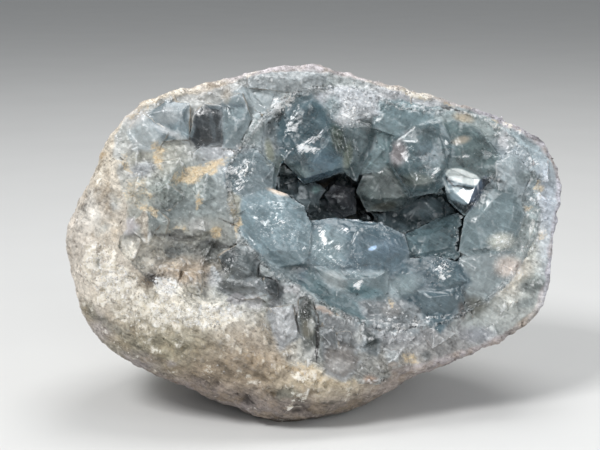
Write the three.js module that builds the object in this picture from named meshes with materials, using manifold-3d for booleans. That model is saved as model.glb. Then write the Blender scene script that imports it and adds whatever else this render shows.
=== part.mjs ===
// Celestite crystal cluster: a rounded nodule with a pale rind, broken open across its front through
// massive celestite, with a pocket that is lined by a crust of blue-grey celestite crystals.
//
// Every solid is shaped in the face frame, in millimetres: +X to the right along the broken face,
// +Y into the stone, +Z up the broken face. The finished group then leans back by FACE_LEAN, so
// that the broken face looks a little upwards and the worn underside lies flat on Z = 0.

import * as THREE from "three";
import { ConvexGeometry } from "three/addons/geometries/ConvexGeometry.js";
import { ImprovedNoise } from "three/addons/math/ImprovedNoise.js";
import { mergeVertices } from "three/addons/utils/BufferGeometryUtils.js";
import Module from "manifold-3d";

// Driving dimensions
const FACE_LEAN = THREE.MathUtils.degToRad(12);
const BASE_CUT = -49.8; // height of the resting flat below the face frame's origin
const GAP = 0.4; // clearance between the crust of crystals and the stone that holds it
const ROOT_SPREAD = 1.08; // how much wider a crystal is at its root than at its shoulder

const wasm = await Module();
wasm.setup();
const noise = new ImprovedNoise();

const colours = {
  stone: new THREE.MeshStandardMaterial({ color: 0xb9b0a2, roughness: 0.9, metalness: 0 }),
  celestite: new THREE.MeshStandardMaterial({ color: 0x93a9b1, roughness: 0.25, metalness: 0 }),
};

// Solids and meshes

function solid(geometry) {
  const bare = new THREE.BufferGeometry();
  bare.setAttribute("position", geometry.getAttribute("position"));
  bare.setIndex(geometry.index);
  const merged = mergeVertices(bare, 1e-3);
  return new wasm.Manifold(
    new wasm.Mesh({
      numProp: 3,
      vertProperties: merged.getAttribute("position").array,
      triVerts: new Uint32Array(merged.index.array),
    }),
  );
}

function joined(solids) {
  return solids.reduce((all, next) => all.add(next));
}

function meshOf(name, body, material) {
  const { vertProperties, triVerts } = body.getMesh();
  const geometry = new THREE.BufferGeometry();
  geometry.setAttribute("position", new THREE.BufferAttribute(vertProperties, 3));
  geometry.setIndex(new THREE.BufferAttribute(triVerts, 1));
  geometry.computeVertexNormals();
  const mesh = new THREE.Mesh(geometry, material);
  mesh.name = name;
  return mesh;
}

// A pebble is a closed body whose outline on the broken face is given by radii at equal steps of
// angle, from +X towards +Z, and which closes to a point at its front and back depths.

function smoothRadius(radii, angle) {
  const place = (THREE.MathUtils.euclideanModulo(angle, 2 * Math.PI) * radii.length) / (2 * Math.PI);
  const first = Math.floor(place);
  const at = (step) => radii[(first + step + radii.length) % radii.length];
  const t = place - first;
  const [a, b, c, d] = [at(-1), at(0), at(1), at(2)];
  return b + 0.5 * t * (c - a + t * (2 * a - 5 * b + 4 * c - d + t * (3 * (b - c) + d - a)));
}

function lumps(point, { size, height }) {
  return height * noise.noise(point.x / size, point.y / size, point.z / size);
}

function pebble({ centre, radii, front, back, corner = 2.4, detail, relief = [], inset = 0 }) {
  const geometry = mergeVertices(
    new THREE.IcosahedronGeometry(1, detail).deleteAttribute("normal").deleteAttribute("uv"),
    1e-4,
  );
  const position = geometry.getAttribute("position");
  const point = new THREE.Vector3();
  for (let i = 0; i < position.count; i++) {
    point.fromBufferAttribute(position, i).normalize();
    const across = Math.hypot(point.x, point.z);
    const outline = smoothRadius(radii, Math.atan2(point.z, point.x));
    const depth = point.y < 0 ? front : back;
    const share = (across / outline) ** corner + (Math.abs(point.y) / depth) ** corner;
    const surface = point.clone().multiplyScalar(share ** (-1 / corner));
    const bump = relief.reduce((sum, layer) => sum + lumps(surface, layer), 0);
    surface.addScaledVector(point, bump - inset).add(centre);
    position.setXYZ(i, surface.x, surface.y, surface.z);
  }
  return solid(geometry);
}

// The nodule, before it broke

const NODULE = {
  centre: new THREE.Vector3(0, -10, 0),
  radii: [
    [72.4, 78, 65.5, 55, 52],
    [52.4, 53.7, 56.4, 66.9, 67.8],
    [73.2, 71.8, 63.5, 57.3, 54.1],
    [53.2, 51.7, 49.5, 56.3, 70],
  ].flat(), // one row for each quarter turn
  front: 25,
  back: 60,
  corner: 2.5,
  detail: 10,
  relief: [
    { size: 23, height: 2.6 },
    { size: 9, height: 1.3 },
  ],
};

// The broken front. It deepens to the upper right, swells forward in a lobe at the left and towards
// the lower left, where the rind was left whole, and has a recess under the lobe's lower edge.

const BREAK_PLANE = { depth: -12.5, slope: [0.1, 0.15] };
const BREAK_GRAIN = [
  { size: 11, height: 1.7 },
  { size: 4.7, height: 1.1 },
];
const BREAK_SWELLS = [
  { at: [-46, 14], spread: [24, 13], height: 6 },
  { at: [-30, -5], spread: [24, 6], height: -7 },
  { at: [-12, -20], spread: [12, 12], height: -1.5 },
  { at: [22, -36], spread: [26, 10], height: 4 },
];
const RIND_EDGE = { slope: 0.82, offset: 48, swell: 9, spread: 17, step: 26, width: 5 };

// Distance from the edge of the whole rind; negative on the rind
const fromRind = (x, z) =>
  (RIND_EDGE.slope * x + z + RIND_EDGE.offset) / Math.hypot(RIND_EDGE.slope, 1);

function breakDepth(x, z) {
  const swell = BREAK_SWELLS.reduce((sum, { at, spread, height }) => {
    const away = ((x - at[0]) / spread[0]) ** 2 + ((z - at[1]) / spread[1]) ** 2;
    return sum + height * Math.exp(-away);
  }, 0);
  const edge = fromRind(x, z);
  const { swell: rise, spread, step, width } = RIND_EDGE;
  const towardsRind = rise * Math.exp(-((Math.max(edge, 0) / spread) ** 2));
  const rind = towardsRind + step * THREE.MathUtils.smoothstep(-edge, 0, width);
  const point = new THREE.Vector3(x, 0, z);
  const grain = BREAK_GRAIN.reduce((sum, layer) => sum + lumps(point, layer), 0);
  return BREAK_PLANE.depth + BREAK_PLANE.slope[0] * x + BREAK_PLANE.slope[1] * z - swell - rind + grain;
}

// Everything in front of the broken surface
const BREAK_BLOCK = { width: 176, height: 128, front: -110, steps: [26, 19] };

function frontOfBreak() {
  const { width, height, front, steps } = BREAK_BLOCK;
  const geometry = new THREE.BoxGeometry(width, 2, height, steps[0], 1, steps[1]);
  const position = geometry.getAttribute("position");
  for (let i = 0; i < position.count; i++) {
    const isBack = position.getY(i) > 0;
    position.setY(i, isBack ? breakDepth(position.getX(i), position.getZ(i)) : front);
  }
  return solid(geometry);
}

// The pocket is cut from the stone, and its crust fills the same shape less the gap. The hollow is the
// air inside the crust.

const POCKET = {
  centre: new THREE.Vector3(19, 0, 8),
  radii: [49, 48, 44, 36, 33.5, 38.5, 43, 45, 46, 43, 38, 33, 31.5, 33, 34, 37, 41, 46],
  front: 90,
  back: 37,
  detail: 4,
  relief: [{ size: 8, height: 3 }],
};
const HOLLOW = {
  centre: new THREE.Vector3(17, 0, 9),
  radii: [33, 30, 24, 24, 28, 30, 28, 24, 22, 24, 26, 30],
  front: 60,
  back: 29,
  detail: 4,
};

// Crystals with their broken ends towards the viewer. The outline is what the front view shows, at
// the given depth; the crest points stand above it by their third value and carry the facets between
// them. The body runs back by `reach`, with its root moved towards the wall that it grows from.

const crystal = (outline, crest, depth, more = {}) => ({
  outline,
  crest,
  depth,
  lean: [0, 0],
  reach: 20,
  root: [0, 0],
  ...more,
});

const POCKET_CRYSTALS = {
  hangingBlock: crystal(
    [[-11, 34.7], [-6.8, 40], [-2.1, 43.4], [2.4, 41.6], [7.9, 34.6], [10.2, 21], [-2.8, 16.7], [-9.9, 25]],
    [
      [4.6, 33.4, 3.8], [-4.6, 27.2, 4.6], [-8.6, 33.4, 1.8],
      [-2.4, 18.6, 3.2], [8.6, 22, 2.8], [-2, 39, 1.2],
    ],
    -6, { lean: [0.08, -0.08], reach: 26, root: [-1, 10] }),
  besideBlock: crystal(
    [[5.6, 34.5], [11, 37.4], [19.4, 36.4], [19.2, 29.5], [16, 24.5], [13, 17.8], [9.4, 20.4]],
    [[8.6, 32.8, 3.2], [11, 22.4, 3.4], [17.4, 33.4, 1.8], [16.6, 28, 1.6]],
    -4.5, { lean: [0.16, -0.05], reach: 25, root: [3, 10] }),
  topLeftPlate: crystal(
    [[-24, 44.2], [-15.5, 47.4], [-8.6, 45.4], [-10.6, 39], [-14.6, 33.6], [-19.6, 40.4]],
    [[-20.6, 43.6, 1.8], [-14.4, 45, 2.4], [-11.4, 43.6, 1.6], [-15, 37.4, 1.8]],
    -10, { lean: [-0.1, 0.25] }),
  leftOfBlock: crystal(
    [[-19.6, 40.8], [-14.4, 34.5], [-15.6, 27.4], [-24.6, 28.6], [-26.4, 37.4]],
    [[-19.6, 37.6, 2.2], [-17.4, 31, 2], [-23, 33.4, 2.6]],
    -11.5, { lean: [0.14, 0.06], reach: 18 }),
  darkNook: crystal(
    [[-15, 36], [-9.5, 40], [-6, 34], [-9, 25], [-14, 20.6]],
    [[-11.6, 32, 2.4], [-11.4, 26.5, 1.8]],
    0, { reach: 16, root: [-4, 4] }),
  rightBlock: crystal(
    [[23.2, 30], [30, 34], [37.7, 36], [42.6, 28.4], [40.4, 20], [37, 14], [29, 12.6], [22.4, 23]],
    [
      [31, 29.4, 3.2], [27.4, 23, 4.2], [30.4, 16.4, 3.6],
      [36, 17.6, 3.8], [37.6, 31, 1.8], [39.4, 24.6, 2.6],
    ],
    -7.5, { lean: [-0.04, -0.14], reach: 28, root: [8, 8] }),
  rightBlockFoot: crystal(
    [[13, 14.4], [15.4, 20.4], [23.4, 25], [30.6, 19], [33, 13.4], [26, 8.7], [16.4, 8.5]],
    [[17.6, 12.6, 3.2], [25.4, 12.4, 3.6], [30, 15, 3.2], [21, 20.4, 2.6]],
    0.5, { lean: [0.06, -0.24], reach: 24, root: [6, 8] }),
  rightUpper: crystal(
    [[36.6, 34], [42, 36], [50, 33.4], [56, 24.9], [54.4, 18.6], [47.6, 18.4], [39.4, 22]],
    [[45.8, 25.2, 3], [51.4, 27, 2.6], [49.6, 21.6, 2.4], [43, 31.4, 2]],
    -6.5, { lean: [0.1, 0.16], reach: 24, root: [4, 5] }),
  mirrorFacet: crystal(
    [[38.2, 20.4], [40.6, 22.6], [50.2, 19.6], [54, 19.2], [47.6, 9.4], [45, 7.4], [40.6, 12]],
    [[39.6, 21, 2], [49.8, 18.8, 2.6], [46.2, 10.8, 2.6], [40.8, 15.4, 2]],
    -4, { lean: [-0.36, 0.34], reach: 24, root: [7, 0] }),
  rightSlab: crystal(
    [[50.4, 14.8], [59.3, 16], [63.4, 7.6], [58.8, -4], [47.7, -6], [43, -3.4], [44.5, 6]],
    [[53, 11.6, 2.8], [59.4, 10, 2.4], [57.6, 0, 2.8], [49.4, -2.4, 3], [47.8, 5.4, 2.6]],
    -9.5, { lean: [0.12, 0.08], reach: 22, root: [6, 0] }),
  rightFloor: crystal(
    [[27.6, 1.6], [38.6, 7], [46.6, 9], [45.4, -3.4], [35.6, -8], [27, -7]],
    [[34, 1.4, 3], [42.4, 4.6, 3.2], [41, -2, 3.6], [32.4, -4, 3]],
    -0.5, { lean: [0.06, 0.4], reach: 24, root: [2, -8] }),
  centreDome: crystal(
    [
      [-1.2, 6], [9.2, 6.8], [20, 5.2], [27, 1.8], [28.6, -3.6],
      [26.4, -7.8], [22.1, -10], [11, -12.4], [0.2, -9.2], [-2.6, -5.4],
    ],
    [[3.4, 2.6, 3], [14, 2.8, 4], [22.4, -0.6, 3.8], [21, -6.6, 3], [9, -7.6, 4.2], [2.6, -4.6, 3]],
    -12.5, { lean: [0.05, 0.12], reach: 24, root: [1, -9] }),
  centreFoot: crystal(
    [[0, -7.6], [10, -8.8], [22.4, -8.6], [22, -15.4], [12.6, -18], [6, -14.6]],
    [[8, -11.4, 2.4], [18, -10.8, 2.6], [13.4, -15, 2.2]],
    -14.5, { lean: [0.02, -0.25], reach: 15 }),
  lowerRight: crystal(
    [
      [21.4, -9], [28, -5.4], [35.6, -4.6], [43.6, -6.4],
      [46.8, -12.2], [42.3, -18.4], [31, -20.4], [22, -16.4],
    ],
    [[27.4, -9.6, 3], [36.4, -8.4, 3.6], [42.4, -11.8, 2.8], [36, -15.4, 3], [26.4, -14, 2.2]],
    -12.5, { lean: [0.02, 0.16], reach: 22, root: [2, -6] }),
  arrowFacet: crystal(
    [[30.4, -14.6], [42.8, -13.4], [44.4, -18.4], [37, -27.4], [32, -23]],
    [[33.6, -16.6, 1.8], [40.6, -15.8, 2.4], [37, -23.4, 1.6]],
    -14.5, { lean: [0.1, -0.12], reach: 17, root: [0, -4] }),
  rightLowSlab: crystal(
    [[43, -5], [57, -3.6], [59, -10.6], [51, -18.6], [43.8, -17.8]],
    [[47.6, -8, 2.4], [54.4, -8, 2], [49.6, -14.4, 2]],
    -11, { lean: [0.2, 0.04], reach: 18, root: [3, -2] }),
  leftBlock: crystal(
    [[-17.4, 27.4], [-11.2, 22], [-12.6, 13.4], [-21.3, 12.4], [-27, 16.4], [-25.4, 24.4]],
    [[-18, 22.8, 3], [-14.8, 17.4, 2.4], [-22.6, 17.6, 3]],
    -13, { lean: [-0.1, 0.08], reach: 20, root: [-4, 0] }),
  leftDome: crystal(
    [
      [-21.4, 12.4], [-16, 14.6], [-12.8, 15.4], [-7.2, 13.2], [-2.6, 9.9], [-0.7, 5],
      [-1.2, -2.7], [-2.8, -6.8], [-10.4, -8], [-17.8, -2.6], [-21.6, 2],
    ],
    [[-15, 10, 3.4], [-8.6, 9.6, 4], [-4.4, 4.4, 3.4], [-5, -2.8, 3], [-12.6, -3, 3.4], [-17.4, 3, 2.8]],
    -15.5, { lean: [-0.05, 0.1], reach: 26, root: [-4, -4] }),
  lowWedge: crystal(
    [
      [-10.4, -6.8], [-2.4, -6], [6.4, -13.6], [12.6, -17],
      [16.4, -24.4], [6.4, -25.6], [-0.3, -16], [-5, -13],
    ],
    [[-6, -9.4, 2], [-1.6, -9.6, 2.4], [7, -18.4, 2.4], [12, -21.6, 1.8]],
    -12.5, { lean: [-0.06, -0.18], reach: 16 }),
  lowPlate: crystal(
    [[12, -16.6], [22.4, -15.4], [32, -20], [31, -27.4], [17.5, -27]],
    [[17.4, -19.6, 2.2], [25.4, -20, 2.6], [24, -24.4, 2]],
    -13.5, { lean: [0, -0.08], reach: 15, root: [0, -2] }),
  betweenBlocks: crystal(
    [[17, 36], [22, 38], [27, 32], [25, 24], [19, 20.6], [14, 19.6], [15.4, 26]],
    [[20.4, 33.6, 2], [21.4, 27, 2.4], [17, 22.6, 1.6]],
    -2.5, { lean: [0.04, -0.06], reach: 22, root: [3, 8] }),
  topRightPlate: crystal(
    [[17.4, 40.6], [26.4, 42.4], [36.6, 39], [35.4, 34.4], [26.4, 30.4], [18, 33.4]],
    [[22.6, 38.4, 1.8], [29.6, 38.6, 2.2], [27.4, 34, 1.8]],
    -7, { lean: [0.06, 0.16], reach: 20, root: [0, 2] }),
  topMiddle: crystal(
    [[0, 43.6], [8, 46.4], [18.6, 44], [20, 37.4], [12, 35.6], [4, 39.6]],
    [[6, 43, 1.4], [14.4, 42.6, 1.8], [13.4, 38.8, 1.6]],
    -7, { lean: [-0.06, 0.12], reach: 18 }),
  deepLeft: crystal(
    [[-8, 17], [-1, 19], [4, 15.4], [2, 9], [-6, 8]],
    [[-3.4, 15.4, 2.4], [0.6, 15, 2.8], [-1.6, 11.4, 2.4]],
    5, { lean: [0.2, 0.1], reach: 24, root: [-6, -2] }),
  deepCentre: crystal(
    [[3.4, 14], [7, 17.4], [13, 16], [13.4, 8.4], [9.6, 6.6], [4.6, 9.6]],
    [[6.4, 13.6, 2.6], [10.8, 13.8, 3.2], [9.6, 8.6, 2.4]],
    11, { lean: [0.3, -0.1], reach: 22, root: [0, -2] }),
  deepRight: crystal(
    [[19, 13], [32.5, 17], [42, 15], [43, 7.6], [37.1, 2.6], [29, 1], [20.4, 4.4]],
    [[25, 10.4, 3], [34.6, 11.6, 4], [38.4, 7.4, 3], [29, 5, 2.6]],
    11, { lean: [-0.1, 0.2], reach: 24, root: [4, 0] }),
  rightEdge: crystal(
    [[54.4, 23], [60.6, 26.4], [65.4, 20], [62.4, 13.4], [55.4, 15]],
    [[59, 21.6, 2], [60.4, 17, 1.6]],
    -8, { lean: [0.24, 0.08], reach: 14 }),
};

// Crystals that are bedded in the stone and were broken through with it
const BEDDED_CRYSTALS = {
  upperDark: crystal(
    [[-35, 37.4], [-32.2, 40.4], [-27, 39.8], [-26.4, 28], [-34.8, 27.4], [-36.8, 29.5]],
    [[-33.4, 36.4, 1.2], [-28.6, 37.4, 1.6], [-29, 30, 1.4], [-33.6, 29.6, 1]],
    -14, { lean: [0.1, -0.1], reach: 8 }),
  upperPale: crystal(
    [[-49.3, 37], [-43.5, 41], [-36.6, 40.4], [-36.4, 29.4], [-43.5, 29]],
    [[-44, 38, 2.4], [-38.6, 37.4, 2.6], [-39.4, 32, 2]],
    -15, { lean: [0.1, 0.2], reach: 9 }),
  upperCorner: crystal(
    [[-55, 32], [-50, 37], [-42.5, 32], [-45, 26.4], [-52.6, 26.4]],
    [[-49.4, 33.4, 2.4], [-46.4, 29.4, 2]],
    -16, { lean: [-0.2, -0.1], reach: 9 }),
  besideDark: crystal(
    [[-27.4, 41.6], [-21, 43.6], [-18.4, 36], [-22.4, 27.4], [-27, 27]],
    [[-24, 38.4, 2.4], [-22.4, 33, 2.2]],
    -14, { lean: [-0.1, 0.1], reach: 8 }),
  topBlock: crystal(
    [[-20, 49.4], [-8, 51.4], [4, 49.6], [1, 43.6], [-9, 44.4], [-19, 45.4]],
    [[-12, 48.6, 2.2], [-2, 47.4, 2]],
    -9.5, { lean: [0, 0.2], reach: 9 }),
  leftDarkTwin: crystal(
    [[-27.6, -4.6], [-21.5, -0.8], [-16.4, -4.3], [-16.4, -10.6], [-23, -12]],
    [[-21.6, -4.6, 3], [-19, -8, 2.2], [-24, -8, 2.2]],
    -22, { lean: [0.1, 0.1], reach: 10 }),
  leftDarkFoot: crystal(
    [[-28, -14], [-23.4, -9.8], [-15.2, -10.6], [-13.4, -15.4], [-21.2, -17]],
    [[-23, -13, 2.4], [-17.4, -13, 2.4]],
    -22.5, { lean: [-0.1, 0.15], reach: 10 }),
  leftDarkEnd: crystal(
    [[-14.2, -10.8], [-11, -12], [-10.4, -15.9], [-13.4, -17.8], [-17, -15.2]],
    [[-13.4, -13.4, 2]],
    -22, { lean: [0.2, 0.1], reach: 9 }),
  uprightDark: crystal(
    [[-4.2, -17.2], [-1, -16.8], [1.4, -22.8], [0.8, -33.4], [-3.3, -30.4], [-4.8, -22.8]],
    [[-2, -20.4, 1.8], [-1.2, -29, 1.6]],
    -21.5, { reach: 10 }),
  lowDark: crystal(
    [[14.2, -29.8], [19.4, -35.2], [17, -40], [13, -37.1]],
    [[15.8, -34, 1.8], [16.4, -37.4, 1.2]],
    -18.5, { lean: [0.2, 0], reach: 9 }),
  lowBrown: crystal(
    [[3, -26], [11, -26.4], [13.4, -34], [8, -40], [2.2, -36]],
    [[6, -29.4, 2.2], [9.6, -32, 2.4], [6, -36, 1.8]],
    -19, { lean: [0.1, -0.2], reach: 9 }),
  lowGrey: crystal(
    [[-12.4, -19.4], [-6, -18.4], [-4.6, -27], [-9.6, -31.6], [-13.4, -26]],
    [[-8.6, -22, 2], [-8.8, -27, 1.8]],
    -23, { lean: [-0.1, 0.1], reach: 9 }),
};

function crystalSolid({ outline, crest, depth, lean, reach, root }) {
  const middle = [0, 1].map((axis) => outline.reduce((sum, point) => sum + point[axis], 0) / outline.length);
  const corner = ([x, z], scale, lift, shift) => {
    const [dx, dz] = [(x - middle[0]) * scale, (z - middle[1]) * scale];
    const slope = lean[0] * dx + lean[1] * dz;
    return new THREE.Vector3(middle[0] + dx + shift[0], depth + slope + lift, middle[1] + dz + shift[1]);
  };
  const shoulder = outline.map((each) => corner(each, 1, 0, [0, 0]));
  const back = outline.map((each) => corner(each, ROOT_SPREAD, reach, root));
  const facets = crest.map(([x, z, height]) => corner([x, z], 1, -height, [0, 0]));
  return solid(new ConvexGeometry([...facets, ...shoulder, ...back]));
}

const crystalSolids = (group) => Object.values(group).map(crystalSolid);

// Seeded scatter

const random = (low, high) => THREE.MathUtils.lerp(low, high, THREE.MathUtils.seededRandom());

function isInside(outline, x, z) {
  const crossings = outline.filter(([x1, z1], i) => {
    const [x2, z2] = outline[(i + 1) % outline.length];
    return z1 > z !== z2 > z && x < x1 + ((x2 - x1) * (z - z1)) / (z2 - z1);
  });
  return crossings.length % 2 === 1;
}

const isOnCrystal = (group, x, z) => Object.values(group).some(({ outline }) => isInside(outline, x, z));

// Broken grains across a stretch of the broken face, bedded so that only their corners stand out
function grains({ x, z, spacing, size, sunk, seed, isKept }) {
  THREE.MathUtils.seededRandom(seed);
  const found = [];
  for (let across = x[0]; across <= x[1]; across += spacing) {
    for (let up = z[0]; up <= z[1]; up += spacing) {
      const at = [across + random(-0.4, 0.4) * spacing, up + random(-0.4, 0.4) * spacing];
      const radii = [random(...size), random(...size), random(...size)];
      const turn = new THREE.Euler(random(0, 3), random(0, 3), random(0, 3));
      const sink = random(...sunk);
      if (!isKept(...at)) continue;
      const grain = new THREE.OctahedronGeometry(1).scale(...radii);
      grain.applyMatrix4(new THREE.Matrix4().makeRotationFromEuler(turn));
      grain.translate(at[0], breakDepth(...at) + sink, at[1]);
      found.push(solid(grain));
    }
  }
  return found;
}

// Crystals that grow from the hollow's wall towards its middle: six-sided prisms, each ended by a
// chisel edge, set on a spiral of even directions with seeded scatter.

const WALL_CRYSTALS = {
  count: 20,
  width: [7.5, 12.5],
  length: [13, 21],
  aim: new THREE.Vector3(17, -6, 10),
  scatter: 9,
  rooted: 4, // how far the roots stand back in the wall
  seed: 21,
};
const PRISM = { thickness: 0.36, roof: 0.45, edge: 0.42 }; // shares of the width
const HEXAGON = [[1, 0], [0.5, 1], [-0.5, 1], [-1, 0], [-0.5, -1], [0.5, -1]];

function prismSolid(base, direction, width, length, roll) {
  const thick = width * PRISM.thickness;
  const shoulder = length - width * PRISM.roof;
  const ends = [0, shoulder];
  const local = ends.flatMap((height) => HEXAGON.map(([x, y]) => [(x * width) / 2, y * thick, height]));
  const ridge = (width * PRISM.edge) / 2;
  local.push([ridge, 0, length], [-ridge, 0, length]);
  const turn = new THREE.Quaternion().setFromUnitVectors(new THREE.Vector3(0, 0, 1), direction);
  turn.multiply(new THREE.Quaternion().setFromAxisAngle(new THREE.Vector3(0, 0, 1), roll));
  const points = local.map((corner) => new THREE.Vector3(...corner).applyQuaternion(turn).add(base));
  return solid(new ConvexGeometry(points));
}

function wallCrystals() {
  const { count, width, length, aim, scatter, rooted, seed } = WALL_CRYSTALS;
  const goldenAngle = Math.PI * (3 - Math.sqrt(5));
  THREE.MathUtils.seededRandom(seed);
  return Array.from({ length: count }, (_, i) => {
    const inward = 1 - (i + 0.5) / count; // near 1 at the back of the hollow, near 0 at its mouth
    const across = Math.sqrt(1 - inward ** 2);
    const angle = i * goldenAngle;
    const outline = smoothRadius(HOLLOW.radii, angle) + rooted;
    const base = new THREE.Vector3(
      HOLLOW.centre.x + outline * across * Math.cos(angle),
      (HOLLOW.back + rooted) * inward,
      HOLLOW.centre.z + outline * across * Math.sin(angle),
    );
    const stray = new THREE.Vector3(random(-1, 1), random(-1, 1), random(-1, 1)).multiplyScalar(scatter);
    const direction = aim.clone().add(stray).sub(base).normalize();
    return prismSolid(base, direction, random(...width), random(...length), random(0, Math.PI));
  });
}

const largestPiece = (body) =>
  body.decompose().reduce((best, piece) => (piece.volume() > best.volume() ? piece : best));

const radiusAt = ({ centre, radii }, x, z) =>
  Math.hypot(x - centre.x, z - centre.z) / smoothRadius(radii, Math.atan2(z - centre.z, x - centre.x));

// The crust: celestite as thick as the pocket leaves it, broken off at the front, with its crystals

const CRUST_GRAINS = {
  x: [-30, 66],
  z: [-30, 48],
  spacing: 7,
  size: [3, 6.5],
  sunk: [0.5, 2],
  seed: 5,
  isKept: (x, z) =>
    radiusAt(POCKET, x, z) < 1 && radiusAt(HOLLOW, x, z) > 1 && !isOnCrystal(POCKET_CRYSTALS, x, z),
};

function pocketCrust() {
  const room = pebble({ ...POCKET, inset: GAP });
  const lining = room.subtract(frontOfBreak()).subtract(pebble(HOLLOW));
  const grown = [...crystalSolids(POCKET_CRYSTALS), ...wallCrystals(), ...grains(CRUST_GRAINS)];
  return largestPiece(joined([lining, joined(grown).intersect(room)]));
}

// The stone: the nodule less its broken front, the pocket, weathered pits and the worn base

const rindDepth = (x, z) => {
  const { centre, front, corner } = NODULE;
  return centre.y - front * Math.max(0, 1 - radiusAt(NODULE, x, z) ** corner) ** (1 / corner);
};
const PITS = [
  { at: [-11.9, -43.4], size: [2.6, 2.4, 1.8] },
  { at: [-4.9, -49], size: [2.8, 2.6, 1.6] },
  { at: [-20, -46.4], size: [2.4, 2, 1.6] },
  { at: [7.6, -48.6], size: [4.6, 2.6, 1.6] },
  { at: [-44, -30], size: [5, 1.8, 2.6] },
  { at: [-63, -8], size: [3, 2, 4] },
];
const STONE_GRAINS = {
  x: [-68, 72],
  z: [-46, 50],
  spacing: 8.6,
  size: [3.5, 7.5],
  sunk: [0.4, 2.4],
  seed: 8,
  isKept: (x, z) =>
    radiusAt(NODULE, x, z) < 0.95 &&
    radiusAt(POCKET, x, z) > 0.93 &&
    fromRind(x, z) > 1 &&
    !isOnCrystal(BEDDED_CRYSTALS, x, z),
};

function pitSolid({ at, size }) {
  const [x, z] = at;
  return solid(new THREE.IcosahedronGeometry(1, 1).scale(...size).translate(x, rindDepth(x, z), z));
}

// Everything below the resting flat, which is level once the face leans back.
function belowBase() {
  const [width, height] = [260, 80];
  const slab = new THREE.BoxGeometry(width, width, height).translate(0, 0, BASE_CUT - height / 2);
  return solid(slab.rotateX(FACE_LEAN));
}

function stone() {
  const cuts = [frontOfBreak(), ...PITS.map(pitSolid)];
  const broken = cuts.reduce((body, cut) => body.subtract(cut), pebble(NODULE));
  const bedded = joined([...crystalSolids(BEDDED_CRYSTALS), ...grains(STONE_GRAINS)]);
  const whole = broken.add(bedded.intersect(pebble(NODULE)));
  return largestPiece(whole.subtract(pebble(POCKET)).subtract(belowBase()));
}

const cluster = new THREE.Group();
cluster.add(
  meshOf("stone", stone(), colours.stone),
  meshOf("pocket_crystals", pocketCrust(), colours.celestite),
);
cluster.rotation.x = -FACE_LEAN;

// Origin: under the middle of the whole, on the surface that it rests on
const extent = new THREE.Box3().setFromObject(cluster, true);
const middle = extent.getCenter(new THREE.Vector3());
cluster.position.set(-middle.x, -middle.y, -extent.min.z);

export default cluster;
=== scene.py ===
"""Celestite crystal cluster: a broken nodule with a pale rind and a pocket of blue-grey crystals.

The stone and the crust of crystals are refined copies of the frame's solids, chipped and weathered
in code. Fine druse grains are scattered over them. Places on the broken face are millimetres in the
face frame: x along the face, y into the stone, z up the face, as in the solids.
"""

import math

import bmesh
import bpy
import numpy as np
from mathutils import Matrix, Vector, kdtree, noise
from mathutils.bvhtree import BVHTree


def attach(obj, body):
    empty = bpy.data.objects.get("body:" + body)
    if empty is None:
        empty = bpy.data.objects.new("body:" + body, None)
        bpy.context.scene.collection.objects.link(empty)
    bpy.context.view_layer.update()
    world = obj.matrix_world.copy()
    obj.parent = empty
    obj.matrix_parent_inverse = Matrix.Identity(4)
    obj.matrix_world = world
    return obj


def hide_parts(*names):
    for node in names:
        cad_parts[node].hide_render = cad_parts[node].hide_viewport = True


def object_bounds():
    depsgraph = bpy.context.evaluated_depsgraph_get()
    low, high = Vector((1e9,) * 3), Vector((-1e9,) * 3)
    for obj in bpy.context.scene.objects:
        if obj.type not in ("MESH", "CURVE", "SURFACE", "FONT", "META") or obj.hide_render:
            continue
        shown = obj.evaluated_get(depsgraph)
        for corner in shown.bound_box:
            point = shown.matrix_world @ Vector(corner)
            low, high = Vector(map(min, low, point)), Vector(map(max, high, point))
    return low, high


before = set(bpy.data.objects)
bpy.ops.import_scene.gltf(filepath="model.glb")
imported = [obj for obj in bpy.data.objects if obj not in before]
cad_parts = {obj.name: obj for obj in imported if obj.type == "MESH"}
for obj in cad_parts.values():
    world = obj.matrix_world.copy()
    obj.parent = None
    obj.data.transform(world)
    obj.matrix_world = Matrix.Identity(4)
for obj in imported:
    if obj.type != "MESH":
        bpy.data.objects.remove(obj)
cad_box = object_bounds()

MM = 0.001
LEAN = math.radians(12)
FACE_ORIGIN = Vector((-1.563, -7.025, 49.8)) * MM
FACE_TURN = Matrix.Rotation(-LEAN, 3, "X")


def to_face(points):
    """Points of the row frame, in metres, as millimetres in the face frame."""
    return (points - np.array(FACE_ORIGIN)) @ np.array(FACE_TURN) / MM


def from_face(points):
    return points @ np.array(FACE_TURN).T * MM + np.array(FACE_ORIGIN)


def linear(colour):
    """A screen colour, as three numbers up to 255, in linear light."""
    shares = np.array(colour) / 255
    return np.where(shares < 0.04045, shares / 12.92, ((shares + 0.055) / 1.055) ** 2.4)


def rgba(*colour):
    return (*linear(colour), 1)


def eased(values, low, high):
    t = np.clip((values - low) / (high - low), 0, 1)
    return t * t * (3 - 2 * t)


# Shader expressions


def add_node(tree, kind, settings=None, sockets=None):
    """Any node: its settings first, then the values or links of its sockets."""
    node = tree.nodes.new(kind)
    for name, value in (settings or {}).items():
        setattr(node, name, value)
    for name, value in (sockets or {}).items():
        if isinstance(value, Signal):
            tree.links.new(value.socket, node.inputs[name])
        else:
            node.inputs[name].default_value = value
    return node


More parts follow.
